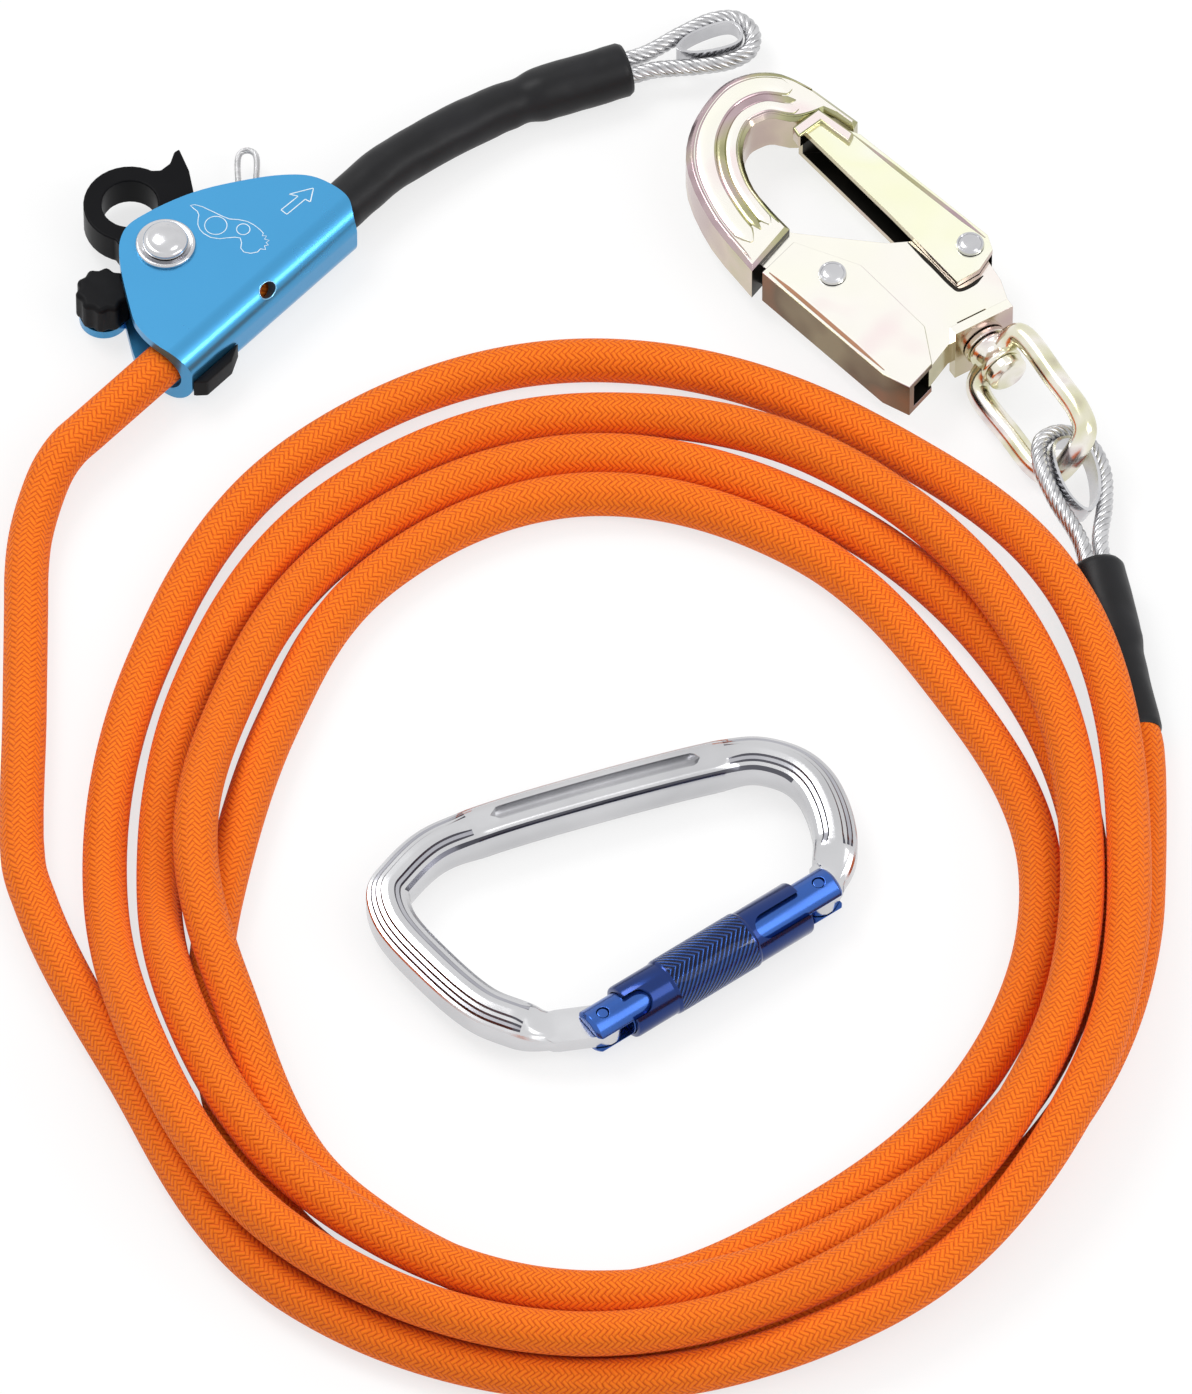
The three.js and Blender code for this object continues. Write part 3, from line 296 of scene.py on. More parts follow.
def baked(obj):
    """The mesh with its modifiers applied."""
    bpy.context.view_layer.update()
    evaluated = obj.evaluated_get(bpy.context.evaluated_depsgraph_get())
    mesh = bpy.data.meshes.new_from_object(evaluated)
    obj.modifiers.clear()
    obj.data = mesh
    return obj


SAME_POINT = 1e-6
SAME_PLANE = radians(0.8)
LEAST_CREASE = 35.0
FLAT_WEIGHT = 80
EDGE = 0.0003


def finished(obj, width=EDGE, angle=30.0, segments=2):
    """Eases the edges of a solid and shades its flats flat and its curves smooth."""
    welded(obj, SAME_POINT)
    reworked(obj, lambda work: bmesh.ops.dissolve_limit(
        work, angle_limit=SAME_PLANE, verts=work.verts, edges=work.edges))
    if width:
        bevel = obj.modifiers.new("ease", "BEVEL")
        bevel.width = width
        bevel.segments = segments
        bevel.limit_method = "ANGLE"
        bevel.angle_limit = radians(angle)
        bevel.use_clamp_overlap = True
        baked(obj)
    sharp_by_angle(smoothed(obj), max(angle, LEAST_CREASE))
    flats = obj.modifiers.new("flats", "WEIGHTED_NORMAL")
    flats.keep_sharp = True
    flats.weight = FLAT_WEIGHT
    return baked(obj)


def boolean(obj, block, operation="DIFFERENCE"):
    """The object with a block cut away, joined on or kept in common."""
    tool = join("tool", [block])
    modifier = obj.modifiers.new("cut", "BOOLEAN")
    modifier.operation = operation
    modifier.solver = "EXACT"
    modifier.object = tool
    baked(obj)
    bpy.data.objects.remove(tool)
    return obj


def turned(name, profile, sides, matrix, angle):
    """A lathed piece, its edges over an angle sharp."""
    return sharp_by_angle(fixed_normals(join(name, [lathe(profile, sides, matrix)])), angle)


# Materials
def material(name, colour, roughness, metallic=0.0, coat=0.0, sheen=0.0, specular=0.5):
    """A node material; the caller wires patterns into its shader."""
    mat = bpy.data.materials.new(name)
    mat.use_nodes = True
    shader = mat.node_tree.nodes["Principled BSDF"]
    for key, value in (("Base Color", (*colour, 1)), ("Roughness", roughness), ("Metallic", metallic),
                       ("Coat Weight", coat), ("Sheen Weight", sheen), ("Specular IOR Level", specular)):
        shader.inputs[key].default_value = value
    return mat, mat.node_tree, shader


def node(tree, kind, values=None, links=None, **settings):
    """A shader node with its settings, socket values and incoming links."""
    made = tree.nodes.new("ShaderNode" + kind)
    for key, value in settings.items():
        setattr(made, key, value)
    for key, value in (values or {}).items():
        made.inputs[key].default_value = value
    for key, source in (links or {}).items():
        tree.links.new(source, made.inputs[key])
    return made


def calculator(tree):
    """Makes the tree's math nodes from numbers and sockets."""
    def calc(operation, a, b=None):
        made = node(tree, "Math", operation=operation)
        for i, value in enumerate((a, b)):
            if isinstance(value, (int, float)):
                made.inputs[i].default_value = value
            elif value is not None:
                tree.links.new(value, made.inputs[i])
        return made.outputs[0]
    return calc


def ramp(tree, source, stops):
    """A colour ramp over (position, red, green, blue)."""
    made = node(tree, "ValToRGB", links={"Fac": source})
    elements = made.color_ramp.elements
    while len(elements) < len(stops):
        elements.new(0.5)
    for element, (position, *colour) in zip(elements, stops):
        element.position = position
        element.color = (*colour, 1)
    return made.outputs["Color"]


def grain(tree, scale, detail):
    """Noise over object coordinates."""
    place = node(tree, "TexCoord").outputs["Object"]
    return node(tree, "TexNoise", {"Scale": scale, "Detail": detail}, {"Vector": place}).outputs[0]


def bump(tree, shader, height, strength, distance):
    made = node(tree, "Bump", {"Strength": strength, "Distance": distance}, {"Height": height})
    tree.links.new(made.outputs[0], shader.inputs["Normal"])


def coloured(tree, shader, source, stops):
    tree.links.new(ramp(tree, source, stops), shader.inputs["Base Color"])


def glossed(tree, shader, source, low, high):
    made = node(tree, "MapRange", {"To Min": low, "To Max": high}, {"Value": source})
    tree.links.new(made.outputs[0], shader.inputs["Roughness"])


FINE_GRAIN = 2500


def metal(name, light, dark, rough, scale, metallic=1.0, coat=0.0, fine=0.02, specular=0.5):
    """Metal whose tone and gloss drift a little, with a fine grain."""
    mat, tree, shader = material(name, light, rough[0], metallic, coat, specular=specular)
    coloured(tree, shader, grain(tree, scale, 3), [(0.3, *dark), (0.7, *light)])
    glossed(tree, shader, grain(tree, scale * 6, 6), *rough)
    if fine:
        bump(tree, shader, grain(tree, FINE_GRAIN, 2), fine, 0.0002)
    return mat


CARRIERS = 20
BRAID_PITCH = 0.00185
YARN_SHADE_STOPS = [(0.08, 0.48, 0.052, 0.0005), (0.42, 0.83, 0.122, 0.002), (0.95, 1.0, 0.225, 0.007)]


def rope_material():
    """Two-over-two braid: yarns of two hands, each lying over two and under two."""
    mat, tree, shader = material("rope_sheath", (0.86, 0.26, 0.02), 0.75, sheen=0.06, specular=0.25)
    calc = calculator(tree)
    uv = node(tree, "UVMap", uv_map="along")
    split = node(tree, "SeparateXYZ", links={"Vector": uv.outputs[0]})
    around = calc("MULTIPLY", split.outputs[0], float(CARRIERS))
    loose = calc("MULTIPLY", calc("SUBTRACT", grain(tree, 260, 3), 0.5), 0.9)
    along = calc("ADD", calc("DIVIDE", split.outputs[1], BRAID_PITCH), loose)
    right = calc("ADD", around, along)
    left = calc("SUBTRACT", around, along)

    def crown(value):
        centred = calc("ABSOLUTE", calc("SUBTRACT", calc("FRACT", value), 0.5))
        return calc("SUBTRACT", 1.0, calc("POWER", calc("MULTIPLY", centred, 2.0), 2.5))

    # The offset keeps the modulo's left side positive
    step = calc("ADD", calc("FLOOR", right), calc("FLOOR", left))
    over = calc("LESS_THAN", calc("MODULO", calc("ADD", step, 4000.0), 4.0), 1.5)
    under = calc("SUBTRACT", 1.0, over)
    height = calc("ADD", calc("MULTIPLY", crown(right), over), calc("MULTIPLY", crown(left), under))
    # Painted shade: the yarn's colour follows its height, darker in the gaps between yarns, with some random tone
    shade = calc("ADD", calc("MULTIPLY", height, 0.72), calc("MULTIPLY", grain(tree, 900, 4), 0.28))
    coloured(tree, shader, shade, YARN_SHADE_STOPS)
    bump(tree, shader, height, 0.5, 0.0005)
    return mat


def zinc_film(name, stops, scale=28):
    """Yellow passivation: metal whose thin film drifts between straw, pink and green."""
    mat, tree, shader = material(name, stops[0][1:], 0.16, 1.0)
    coloured(tree, shader, grain(tree, scale, 2), stops)
    glossed(tree, shader, grain(tree, 120, 5), 0.12, 0.24)
    bump(tree, shader, grain(tree, 60, 2), 0.03, 0.0006)
    return mat


# Materials by slot. Metal: light, dark, roughness, scale, metallic, coat, fine grain, specular
MATERIALS = {"rope": rope_material()}
for metal_slot, metal_name, *metal_looks in (
        ("anodised", "anodised_blue", (0.062, 0.32, 0.60), (0.056, 0.30, 0.575), (0.26, 0.3), 8, 0.8, 0.15, 0),
        ("black_alloy", "black_coating", (0.004, 0.004, 0.005), (0.007, 0.007, 0.008), (0.3, 0.4), 30,
         0.0, 0.0, 0.02, 0.07),
        ("steel", "plated_steel", (0.70, 0.70, 0.715), (0.52, 0.52, 0.54), (0.12, 0.22), 60),
        ("wire", "wire_strand", (0.66, 0.66, 0.67), (0.42, 0.42, 0.43), (0.22, 0.36), 300),
        ("polished", "polished_alloy", (0.68, 0.68, 0.695), (0.53, 0.53, 0.545), (0.14, 0.24), 25),
        ("blue_alloy", "dark_blue_anodised", (0.015, 0.055, 0.25), (0.01, 0.04, 0.19), (0.14, 0.24), 40,
         0.85, 0.4),
        ("black_plastic", "moulded_black", (0.005, 0.005, 0.006), (0.008, 0.008, 0.009), (0.4, 0.52), 200,
         0.0, 0.0, 0.1, 0.1),
        ("shrink", "shrink_tube", (0.006, 0.006, 0.007), (0.010, 0.010, 0.012), (0.38, 0.5), 90,
         0.0, 0.0, 0.1, 0.25)):
    MATERIALS[metal_slot] = metal(metal_name, *metal_looks)
MATERIALS["zinc"] = zinc_film("yellow_zinc", [
    (0.28, 0.95, 0.84, 0.82), (0.36, 0.97, 0.94, 0.88), (0.58, 0.97, 0.96, 0.84), (0.68, 0.90, 0.90, 0.58),
    (0.78, 0.96, 0.94, 0.82)])
ZINC_YELLOW = zinc_film("zinc_straw", [
    (0.3, 0.97, 0.96, 0.86), (0.45, 0.97, 0.965, 0.78), (0.6, 0.95, 0.955, 0.70), (0.72, 0.97, 0.97, 0.88)], 34)
# Painted reflection of the orange rope, red-brown, for a line along the lock lever's edge
ZINC_ROPE_REFLECTION = zinc_film("zinc_rope_painted_reflection", [
    (0.3, 0.30, 0.10, 0.05), (0.5, 0.50, 0.26, 0.16), (0.7, 0.36, 0.22, 0.12)], 40)
# Painted shade: darker, tinted copies of the film for the hook's slopes, sides and grooves
ZINC_SLOPE_SHADE = zinc_film("zinc_slope_painted_shade", [
    (0.3, 0.36, 0.25, 0.28), (0.42, 0.52, 0.40, 0.42), (0.55, 0.46, 0.44, 0.26), (0.7, 0.24, 0.25, 0.12)], 40)
ZINC_SIDE_SHADE = zinc_film("zinc_side_painted_shade", [
    (0.3, 0.50, 0.38, 0.36), (0.45, 0.62, 0.52, 0.42), (0.6, 0.52, 0.48, 0.30), (0.72, 0.34, 0.32, 0.18)], 34)
# Painted reflection of the orange rope, for the lock lever's sides
ZINC_BROWN_REFLECTION = zinc_film("zinc_brown_painted_reflection", [
    (0.3, 0.24, 0.18, 0.10), (0.44, 0.13, 0.075, 0.035), (0.58, 0.28, 0.09, 0.03), (0.72, 0.08, 0.05, 0.025)], 30)
ZINC_RING = zinc_film("zinc_ring", [
    (0.3, 0.60, 0.50, 0.52), (0.44, 0.88, 0.84, 0.78), (0.58, 0.72, 0.70, 0.50), (0.72, 0.46, 0.40, 0.32)], 70)
# Painted shade for a gap in the body, the sheets' insides and the keeper's contact line
ZINC_PAINTED_SHADE = metal("shaded_zinc", (0.035, 0.032, 0.026), (0.02, 0.018, 0.015), (0.3, 0.4), 30, 0.8)


def dress(obj, body, slot_name, *nodes, mat=None, keep=False):
    """Material (the slot's own unless one is given), body, and the CAD nodes that the piece stands for, which it
    hides.
    """
    if not keep:
        obj.data.materials.clear()
        obj.data.materials.append(mat or MATERIALS[slot_name])
    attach(obj, body)
    if nodes:
        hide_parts(*nodes)
    return obj


def dressed_copy(node_name, body, slot_name, width=EDGE, angle=30.0, segments=2, mat=None):
    """A finer copy of one of the frame's solids, dressed in its place."""
    obj = added(node_name + "_finish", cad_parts[node_name].data.copy())
    return dress(finished(obj, width, angle, segments), body, slot_name, node_name, mat=mat)


# Rope: the lead's points, then the coil's turns, as the solids have them
ROPE_RADIUS = 0.00625
GRAB_DEGREES = 47.5
GRAB_YAW = radians(GRAB_DEGREES)
ROPE_HEIGHT = 0.01045
SLEEVE_HEIGHT = 0.0079
SLEEVE_RADIUS = 0.00715
FERRULE = 0.022
ROPE_CUT = FERRULE + 0.0003
LOWER_STRAIGHT = 0.061
LOWER_PITCH = radians(3)
UPPER_END = ((0.1135, 0.0864, SLEEVE_HEIGHT), radians(20), 0.0)
LOWER_END = ((0.2454, -0.0891, SLEEVE_RADIUS + LOWER_STRAIGHT * sin(LOWER_PITCH)),
             radians(101.5), LOWER_PITCH)
LEAD_END = (-0.0549, -0.1)


def behind(end, distance):
    (x, y, z), yaw, pitch = end
    flat = distance * cos(pitch)
    return (x - flat * cos(yaw), y - flat * sin(yaw), z - distance * sin(pitch))


def abreast(distance):
    return (distance * cos(GRAB_YAW), distance * sin(GRAB_YAW), ROPE_HEIGHT)


def on_floor(distance):
    return (LEAD_END[0], LEAD_END[1] - distance, ROPE_RADIUS)


UPPER_POINTS = [
    *[behind(UPPER_END, d) for d in (0, FERRULE / 2, FERRULE)],
    (0.084, 0.0753, 0.008), (0.0748, 0.0706, 0.0082), (0.064, 0.0638, 0.0089), (0.0536, 0.056, 0.0098),
    *[abreast(d) for d in (0.065, 0.058, 0.05, 0.025, 0, -0.025, -0.05, -0.058, -0.064)],
    (-0.0477, -0.0544, 0.0096), (-0.0514, -0.0645, 0.0077), (-0.054, -0.076, 0.0064),
    on_floor(-0.0125), on_floor(0),
]
COIL_CENTRE = (0.0999, -0.1867)
COIL_START = 150
COIL_TURN = 30
COIL_PIECES = 6
COIL_REACH = [
    178.7, 154.6, 144, 163.2, 172.8, 174.3, 163, 153.2, 159.6, 166.1, 172.3, 159.4, 138.5, 131.9, 138.5, 155.7, 165.6,
    161.1, 148.7, 140, 142.3, 149.2, 153.4, 140.8, 123.4, 116.8, 124.5, 140, 151.9, 147.9, 146, 141.8, 137.5, 138,
    139.3, 126.8, 109.8, 106.5, 110, 131, 145.2, 134.9, 132, 128.6, 119.8, 124.3, 125.8, 112.6, 96.6, 97, 117, 148.6,
    159.2, 161.5, 160, 157.5]
COIL_LIFT = [
    0, 0, 0, 0, 0, 7, 13.2, 13.6, 15.2, 3, 0, 0, 0, 0, 12.4, 12.4, 11.8, 13.2, 13.4, 13.4, 13.2, 8.4, 0, 0, 0, 0,
    13.2, 13.2, 11.8, 6.2, 0, 0, 0, 0, 0, 0, 7, 12.8, 13.2, 2, 0, 0, 0, 0, 0, 0, 0, 0, 0, 0, 0, 0, 0, 0, 0, 0]


def spline(values, at):
    """Uniform Catmull-Rom of a list of numbers."""
    i = min(int(at), len(values) - 2)
    t = at - i
    p = [values[max(0, min(len(values) - 1, i + k))] for k in (-1, 0, 1, 2)]
    v0, v1 = (p[2] - p[0]) / 2, (p[3] - p[1]) / 2
    return ((2 * p[1] - 2 * p[2] + v0 + v1) * t**3 + (-3 * p[1] + 3 * p[2] - 2 * v0 - v1) * t**2 + v0 * t + p[1])


def coil_points():
    points = [on_floor(0), on_floor(0.0125), on_floor(0.0375)]
    for i in range(1, len(COIL_REACH) - 1):
        low, high = COIL_LIFT[i:i + 2]
        for t in (k / COIL_PIECES for k in range(COIL_PIECES)):
            angle = radians(COIL_START + (i + t) * COIL_TURN)
            r = spline(COIL_REACH, i + t) * MM
            lift = (low + (high - low) * t * t * (3 - 2 * t)) * MM
            points.append((COIL_CENTRE[0] + r * cos(angle), COIL_CENTRE[1] + r * sin(angle),
                           ROPE_RADIUS + lift))
    return points + [behind(LOWER_END, d) for d in (LOWER_STRAIGHT, LOWER_STRAIGHT - ROPE_RADIUS, ROPE_CUT)]


upper_line = even(catmull_rom(UPPER_POINTS, 12), 0.001)
coil_line = even(catmull_rom(coil_points(), 5), 0.002)
lead_line = even(upper_line, 0.002, ROPE_CUT)
rope_path = even(np.concatenate([lead_line, coil_line[1:]]), 0.0018)
rope_verts, rope_faces, rope_uv = skin(rope_path, tube(rope_path, ROPE_RADIUS * 0.995, 28))
rope = piece("rope", rope_verts, rope_faces, uv=rope_uv)
dress(rope, "line", "rope", "rope_lead", "rope_coil")

# Wire eyes: six strands round a core, in each end fitting's own frame
EYE_WIRE = 0.0024
EYE_LAY = 0.0135
STRANDS = 6
LAY_SHARE = 0.64


def rope_of_wire(name, path, radius, pitch, sides=8):
    """Strands laid round a core along a path."""
    fine = even(path, 0.0006)
    side, lift = frames(fine)
    along = arc_length(fine)
    lay = radius * LAY_SHARE
    strand = radius - lay
    parts = [skin(fine, tube(fine, lay * 0.9, 8))]
    for k in range(STRANDS):
        turn = 2 * pi * (along / pitch + k / STRANDS)
        centre = fine + lay * (np.cos(turn)[:, None] * side + np.sin(turn)[:, None] * lift)
        parts.append(skin(centre, tube(centre, strand * 1.04, sides)))
    return join(name, parts)


def end_frame(end, roll):
    (x, y, z), yaw, pitch = end
    return (Matrix.Translation((x, y, z)) @ Matrix.Rotation(yaw, 4, "Z")
            @ Matrix.Rotation(-pitch, 4, "Y") @ Matrix.Rotation(radians(roll), 4, "X"))


def looped(half, tip, height):
    """A path out along one side, round a tip and back along the other."""
    return [(x, y, height) for x, y in half] + [(tip, 0, height)] + [(x, -y, height) for x, y in reversed(half)]


def eye_path(length, half_width):
    half = [(-0.0057, 0.0029), (0, 0.0029), (length / 5, 0.0032), (length / 2, half_width * 0.8),
            (length - half_width * 1.15, half_width), (length - half_width * 0.35, half_width * 0.76)]
    return catmull_rom(looped(half, length, 0), 12)


for prefix, end, roll, length, half_width in (("upper", UPPER_END, 0, 0.038, 0.0076),
                                              ("lower", LOWER_END, 25, 0.046, 0.01)):
    wire = rope_of_wire(prefix + "_eye_wire_finish", eye_path(length, half_width), EYE_WIRE, EYE_LAY)
    wire.data.transform(end_frame(end, roll))
    dress(wire, "line", "wire", prefix + "_eye_wire")
    dressed_copy(prefix + "_thimble", "line", "steel", 0.0003, 25)
    dressed_copy(prefix + "_ferrule", "line", "steel", 0.0004, 40)

# Shrink tube: drawn down over the rope and the ferrule, its ends open rings
COVER = 0.02825
COVER_SIDES = 40
BORE_START, BORE_END = 0.0065, 0.0063
OVER_FERRULE = 0.0079
DRAWN_DOWN = 0.0009


def cover_radius(before, after, neck, swell, end_drop):
    """Radius along a sleeve: wide on the ferrule, drawn down to the rope, thin at its ends."""
    def radius_at(s, total):
        lead = OVER_FERRULE - DRAWN_DOWN * smooth_step(COVER - before, COVER + after, s)
        dip = neck * exp(-((s - COVER - 0.004) / 0.003) ** 2)
        rise = swell * smooth_step(COVER + 0.01, COVER + 0.02, s)
        ends = 0.0007 * (1 - smooth_step(0, 0.0008, s)) + end_drop * smooth_step(total - 0.001, total, s)
        return lead - dip + rise - ends
    return radius_at


def shrink_sleeve(name, path, radius_at, wrinkle):
    fine = even(path, 0.0012)
    along = arc_length(fine)
    radius = np.array([radius_at(s, along[-1]) for s in along])
    creases = np.array([[noise.noise(Vector((cos(a) * 1.4, sin(a) * 1.4, s * 140)))
                         for a in round_turn(COVER_SIDES)] for s in along]) * wrinkle
    rings = tube(fine, radius[:, None] + np.minimum(creases, 0.0), COVER_SIDES)
    start_in = tube(fine[:4], BORE_START, COVER_SIDES)
    end_in = tube(fine[-4:], BORE_END, COVER_SIDES)
    whole = np.concatenate([start_in[::-1], rings, end_in[::-1]])
    route = np.concatenate([fine[:4][::-1], fine, fine[-4:][::-1]])
    obj = piece(name, *skin(route, whole, closed_ends=False)[:2])
    wall = obj.modifiers.new("wall", "WEIGHTED_NORMAL")
    wall.keep_sharp = False
    return baked(obj)


for prefix, cover, profile, wrinkle in (
        ("upper", even(upper_line, 0.001, 0.0, COVER + 0.07), (0.003, 0.004, 0.0004, 0.00015, 0.0006), 0.00035),
        ("lower", np.array([behind(LOWER_END, s) for s in np.linspace(0, 0.056, 60)]),
         (0.004, 0.003, 0.0, 0.0, 0.0005), 0.0003)):
    sleeve = shrink_sleeve(prefix + "_sleeve_finish", cover, cover_radius(*profile), wrinkle)
    dress(sleeve, "line", "shrink", prefix + "_sleeve")

# Leash: a bare stranded loop
GRAB = place_at(0, 0, 0, GRAB_DEGREES)
LEASH = GRAB @ place_at(0.026998, 0.016502, 0, 90 - GRAB_DEGREES)
LEASH_WIRE = 0.00092
LEASH_LAY = 0.006
CRIMP_END = 0.0063
LEASH_REACH = 0.0215
LEASH_SIDE = 0.0026
LEASH_HEIGHT = 0.0063
leash_half = [(CRIMP_END - 0.0018, -0.0012), (CRIMP_END + 0.0009, -0.0012),
              (CRIMP_END + LEASH_REACH * 0.35, -LEASH_SIDE * 0.85),
              (CRIMP_END + LEASH_REACH - LEASH_SIDE, -LEASH_SIDE),
              (CRIMP_END + LEASH_REACH - LEASH_SIDE * 0.3, -LEASH_SIDE * 0.7)]
leash_path = catmull_rom(looped(leash_half, CRIMP_END + LEASH_REACH, LEASH_HEIGHT), 10)
leash_loop = rope_of_wire("leash_wire_finish", leash_path, LEASH_WIRE, LEASH_LAY, 6)
leash_loop.data.transform(LEASH)
dress(leash_loop, "leash", "wire", "leash_wire")
dressed_copy("leash_crimp", "leash", "steel")

# Carabiner, in its own frame: X along the spine, Z up from its underside
CARABINER_YAW = 19
CARABINER = place_at(0.11, -0.2, 0.0019, CARABINER_YAW)
LENGTH = 0.138
FRAME_MIDDLE = 0.0065
HALF_HIGH = 0.0065
TANG_RADIUS, TANG_HALF = 0.0054, 0.0025
HINGE_PIN = (-0.017, -0.0395)
NOSE_PIN = (0.054, -0.0176)
GATE_RISE, GATE_RUN = NOSE_PIN[1] - HINGE_PIN[1], NOSE_PIN[0] - HINGE_PIN[0]
GATE_YAW = degrees(atan2(GATE_RISE, GATE_RUN))
GATE_LENGTH = hypot(GATE_RUN, GATE_RISE)
SPINE_SHARES = [
    (-21.5, -27), (-25, -25.6), (-29.5, -22), (-34.1, -17.2), (-40, -5), (-44, 8), (-43, 15), (-39.9, 17.8),
    (-31.1, 22.7), (-19.9, 24.1), (5.1, 24.5), (28.5, 23.8), (37, 22.9), (41.5, 20.5), (45, 17), (47, 12.5),
    (47.6, 8), (47.4, 2.6), (46.2, -3), (44, -7.5), (41.5, -10.4),
]
# The slot in the spine: its ends, half width and depth, and how far up the spine lies
SLOT = (-0.022, 0.034)
SLOT_HALF, SLOT_DEPTH, SPINE_FROM = 0.0021, 0.0032, 0.028
spine_points = [(x, y, FRAME_MIDDLE) for x, y in of_length(SPINE_SHARES, LENGTH)]
spine = even(catmull_rom(spine_points, 12), 0.0011)
spine_along = arc_length(spine)
spine_total = spine_along[-1]


def contour_share(s, x, y):
    """How deep the stepped contours are: nil along the slot and at the ends."""
    straight = 0.0 if y < SPINE_FROM else smooth_step(SLOT[0] - 0.016, SLOT[0] - 0.006, x) * (
        1 - smooth_step(SLOT[1] + 0.006, SLOT[1] + 0.016, x))
    ends = smooth_step(0.006, 0.012, s) * (1 - smooth_step(spine_total - 0.014, spine_total - 0.008, s))
    return (1 - straight) * ends


# The bar's edge in section, (across, height) in tenths: rounded, and with its terraces
OUTER_ROUND = in_steps([(-62, 22), (-61, 36), (-55, 48), (-49, 52), (-43, 56), (-41, 59), (-33, 62), (-31, 63),
                        (-23, 64)])
OUTER_STEPPED = in_steps([(-62, 20), (-61, 32), (-57, 37), (-49, 39), (-45, 46), (-36, 48), (-32, 54), (-22, 56),
                          (-18, 62)])
INNER_ROUND = in_steps([(25, 64), (28, 64), (39, 62), (42, 61), (51, 54), (58, 43), (62, 22)])
INNER_STEPPED = in_steps([(17, 62), (21, 56), (31, 54), (35, 48), (46, 46), (57, 38), (62, 20)])


def frame_section(s, point):
    """Half of the bar's section, outer side to inner side: (across, height above the middle)."""
    x, y = point[:2]
    share = contour_share(s, x, y)
    within = 0.0
    if y > SPINE_FROM and SLOT[0] - 0.002 < x < SLOT[1] + 0.002:
        beyond = max(SLOT[0] - x, x - SLOT[1], 0.0)
        within = sqrt(max(0.0, SLOT_HALF**2 - beyond**2))
    depth = SLOT_DEPTH if within > 0 else 0.0
    across = max(within, 0.00005)
    brim = HALF_HIGH - 0.0002 if depth else HALF_HIGH
    outer = [between(a, b, share) for a, b in zip(OUTER_ROUND, OUTER_STEPPED)]
    inner = [between(a, b, share) for a, b in zip(INNER_ROUND, INNER_STEPPED)]
    half = outer + [
        (-across - 0.0001, HALF_HIGH), (-across, brim), (-across * 0.92, HALF_HIGH - depth),
        (across * 0.92, HALF_HIGH - depth), (across, brim), (across + 0.0001, HALF_HIGH)] + inner
    wide = 0.9 + 0.1 * smooth_step(0, 0.011, min(s, spine_total - s))
    tall = 0.42 + 0.58 * smooth_step(0.001, 0.012, min(s, spine_total - s))
    return [(a * wide, h * tall) for a, h in half]


def frame_bar():
    rings = []
    for s, point, out in zip(spine_along, spine, frames(spine)[0]):
        top = frame_section(s, point)
        whole = top + [(a, -h) for a, h in reversed(top)]
        rings.append([point + (-a) * out + np.array((0, 0, h)) for a, h in whole])
    rings = np.array(rings)
    area = np.cross(rings[0][1] - rings[0][0], rings[0][20] - rings[0][0])
    if np.dot(area, spine[1] - spine[0]) > 0:
        rings = rings[:, ::-1]
    return skin(spine, rings)


# Sides of the section that are risers, treads and the band inside, counted from either edge; painted shade darkens
# the risers and the inner band and greys the treads
bar = join("carabiner_frame_finish", [frame_bar()])
BAR_SIDES = 44
RISERS, TREADS, INNER_BAND = {3, 5, 7, 15, 17}, {4, 16}, 19
PAINTED_DARK, PAINTED_GREY = 1, 2
bar.data.materials.append(MATERIALS["polished"])
# Painted shade: a dark copy of the polished alloy for the risers and the inner band, a grey one for the treads
for shaded_step_name, light, dark, rough in (
        ("polished_riser_painted_shade", (0.13, 0.13, 0.15), (0.07, 0.07, 0.085), (0.18, 0.26)),
        ("polished_tread_painted_shade", (0.52, 0.52, 0.55), (0.38, 0.38, 0.42), (0.16, 0.24))):
    bar.data.materials.append(metal(shaded_step_name, light, dark, rough, 40))
for face in bar.data.polygons:
    station, side_at = divmod(face.index, BAR_SIDES)
    own = {side_at, BAR_SIDES - 2 - side_at}
    if station >= len(spine) - 1:
        continue
    if spine[station][1] > 0.021 and INNER_BAND in own:
        face.material_index = PAINTED_DARK
    if contour_share(spine_along[station], *spine[station][:2]) > 0.35:
        face.material_index = PAINTED_DARK if own & RISERS else PAINTED_GREY if own & TREADS else face.material_index
# Room for the gate wherever it swings, then the tangs, then the nose pin's way out
ROOM_RADIUS, ROOM_PAST, WAY_HALF = 0.007, 0.0053, 0.0021
for swing in range(0, 30, 5):
    room = place_at(*HINGE_PIN, FRAME_MIDDLE, GATE_YAW + swing)
    boolean(bar, rod((0, 0, 0), (GATE_LENGTH + ROOM_PAST, 0, 0), ROOM_RADIUS, 28, room))
for start, pin in ((spine[0], HINGE_PIN), (spine[-1], NOSE_PIN)):
    tang = capsule(tuple(start[:2]), pin, TANG_RADIUS)
    boolean(bar, prism(tang, FRAME_MIDDLE - TANG_HALF, FRAME_MIDDLE + TANG_HALF), "UNION")
nose_way = capsule(NOSE_PIN, (NOSE_PIN[0] - 0.0033, NOSE_PIN[1] + 0.0108), WAY_HALF)
boolean(bar, prism(nose_way, 0, 2 * HALF_HIGH))
bar.data.transform(CARABINER)
sharp_by_angle(smoothed(welded(bar, 2e-6)), 24)
dress(bar, "carabiner", "polished", "carabiner_frame", keep=True)

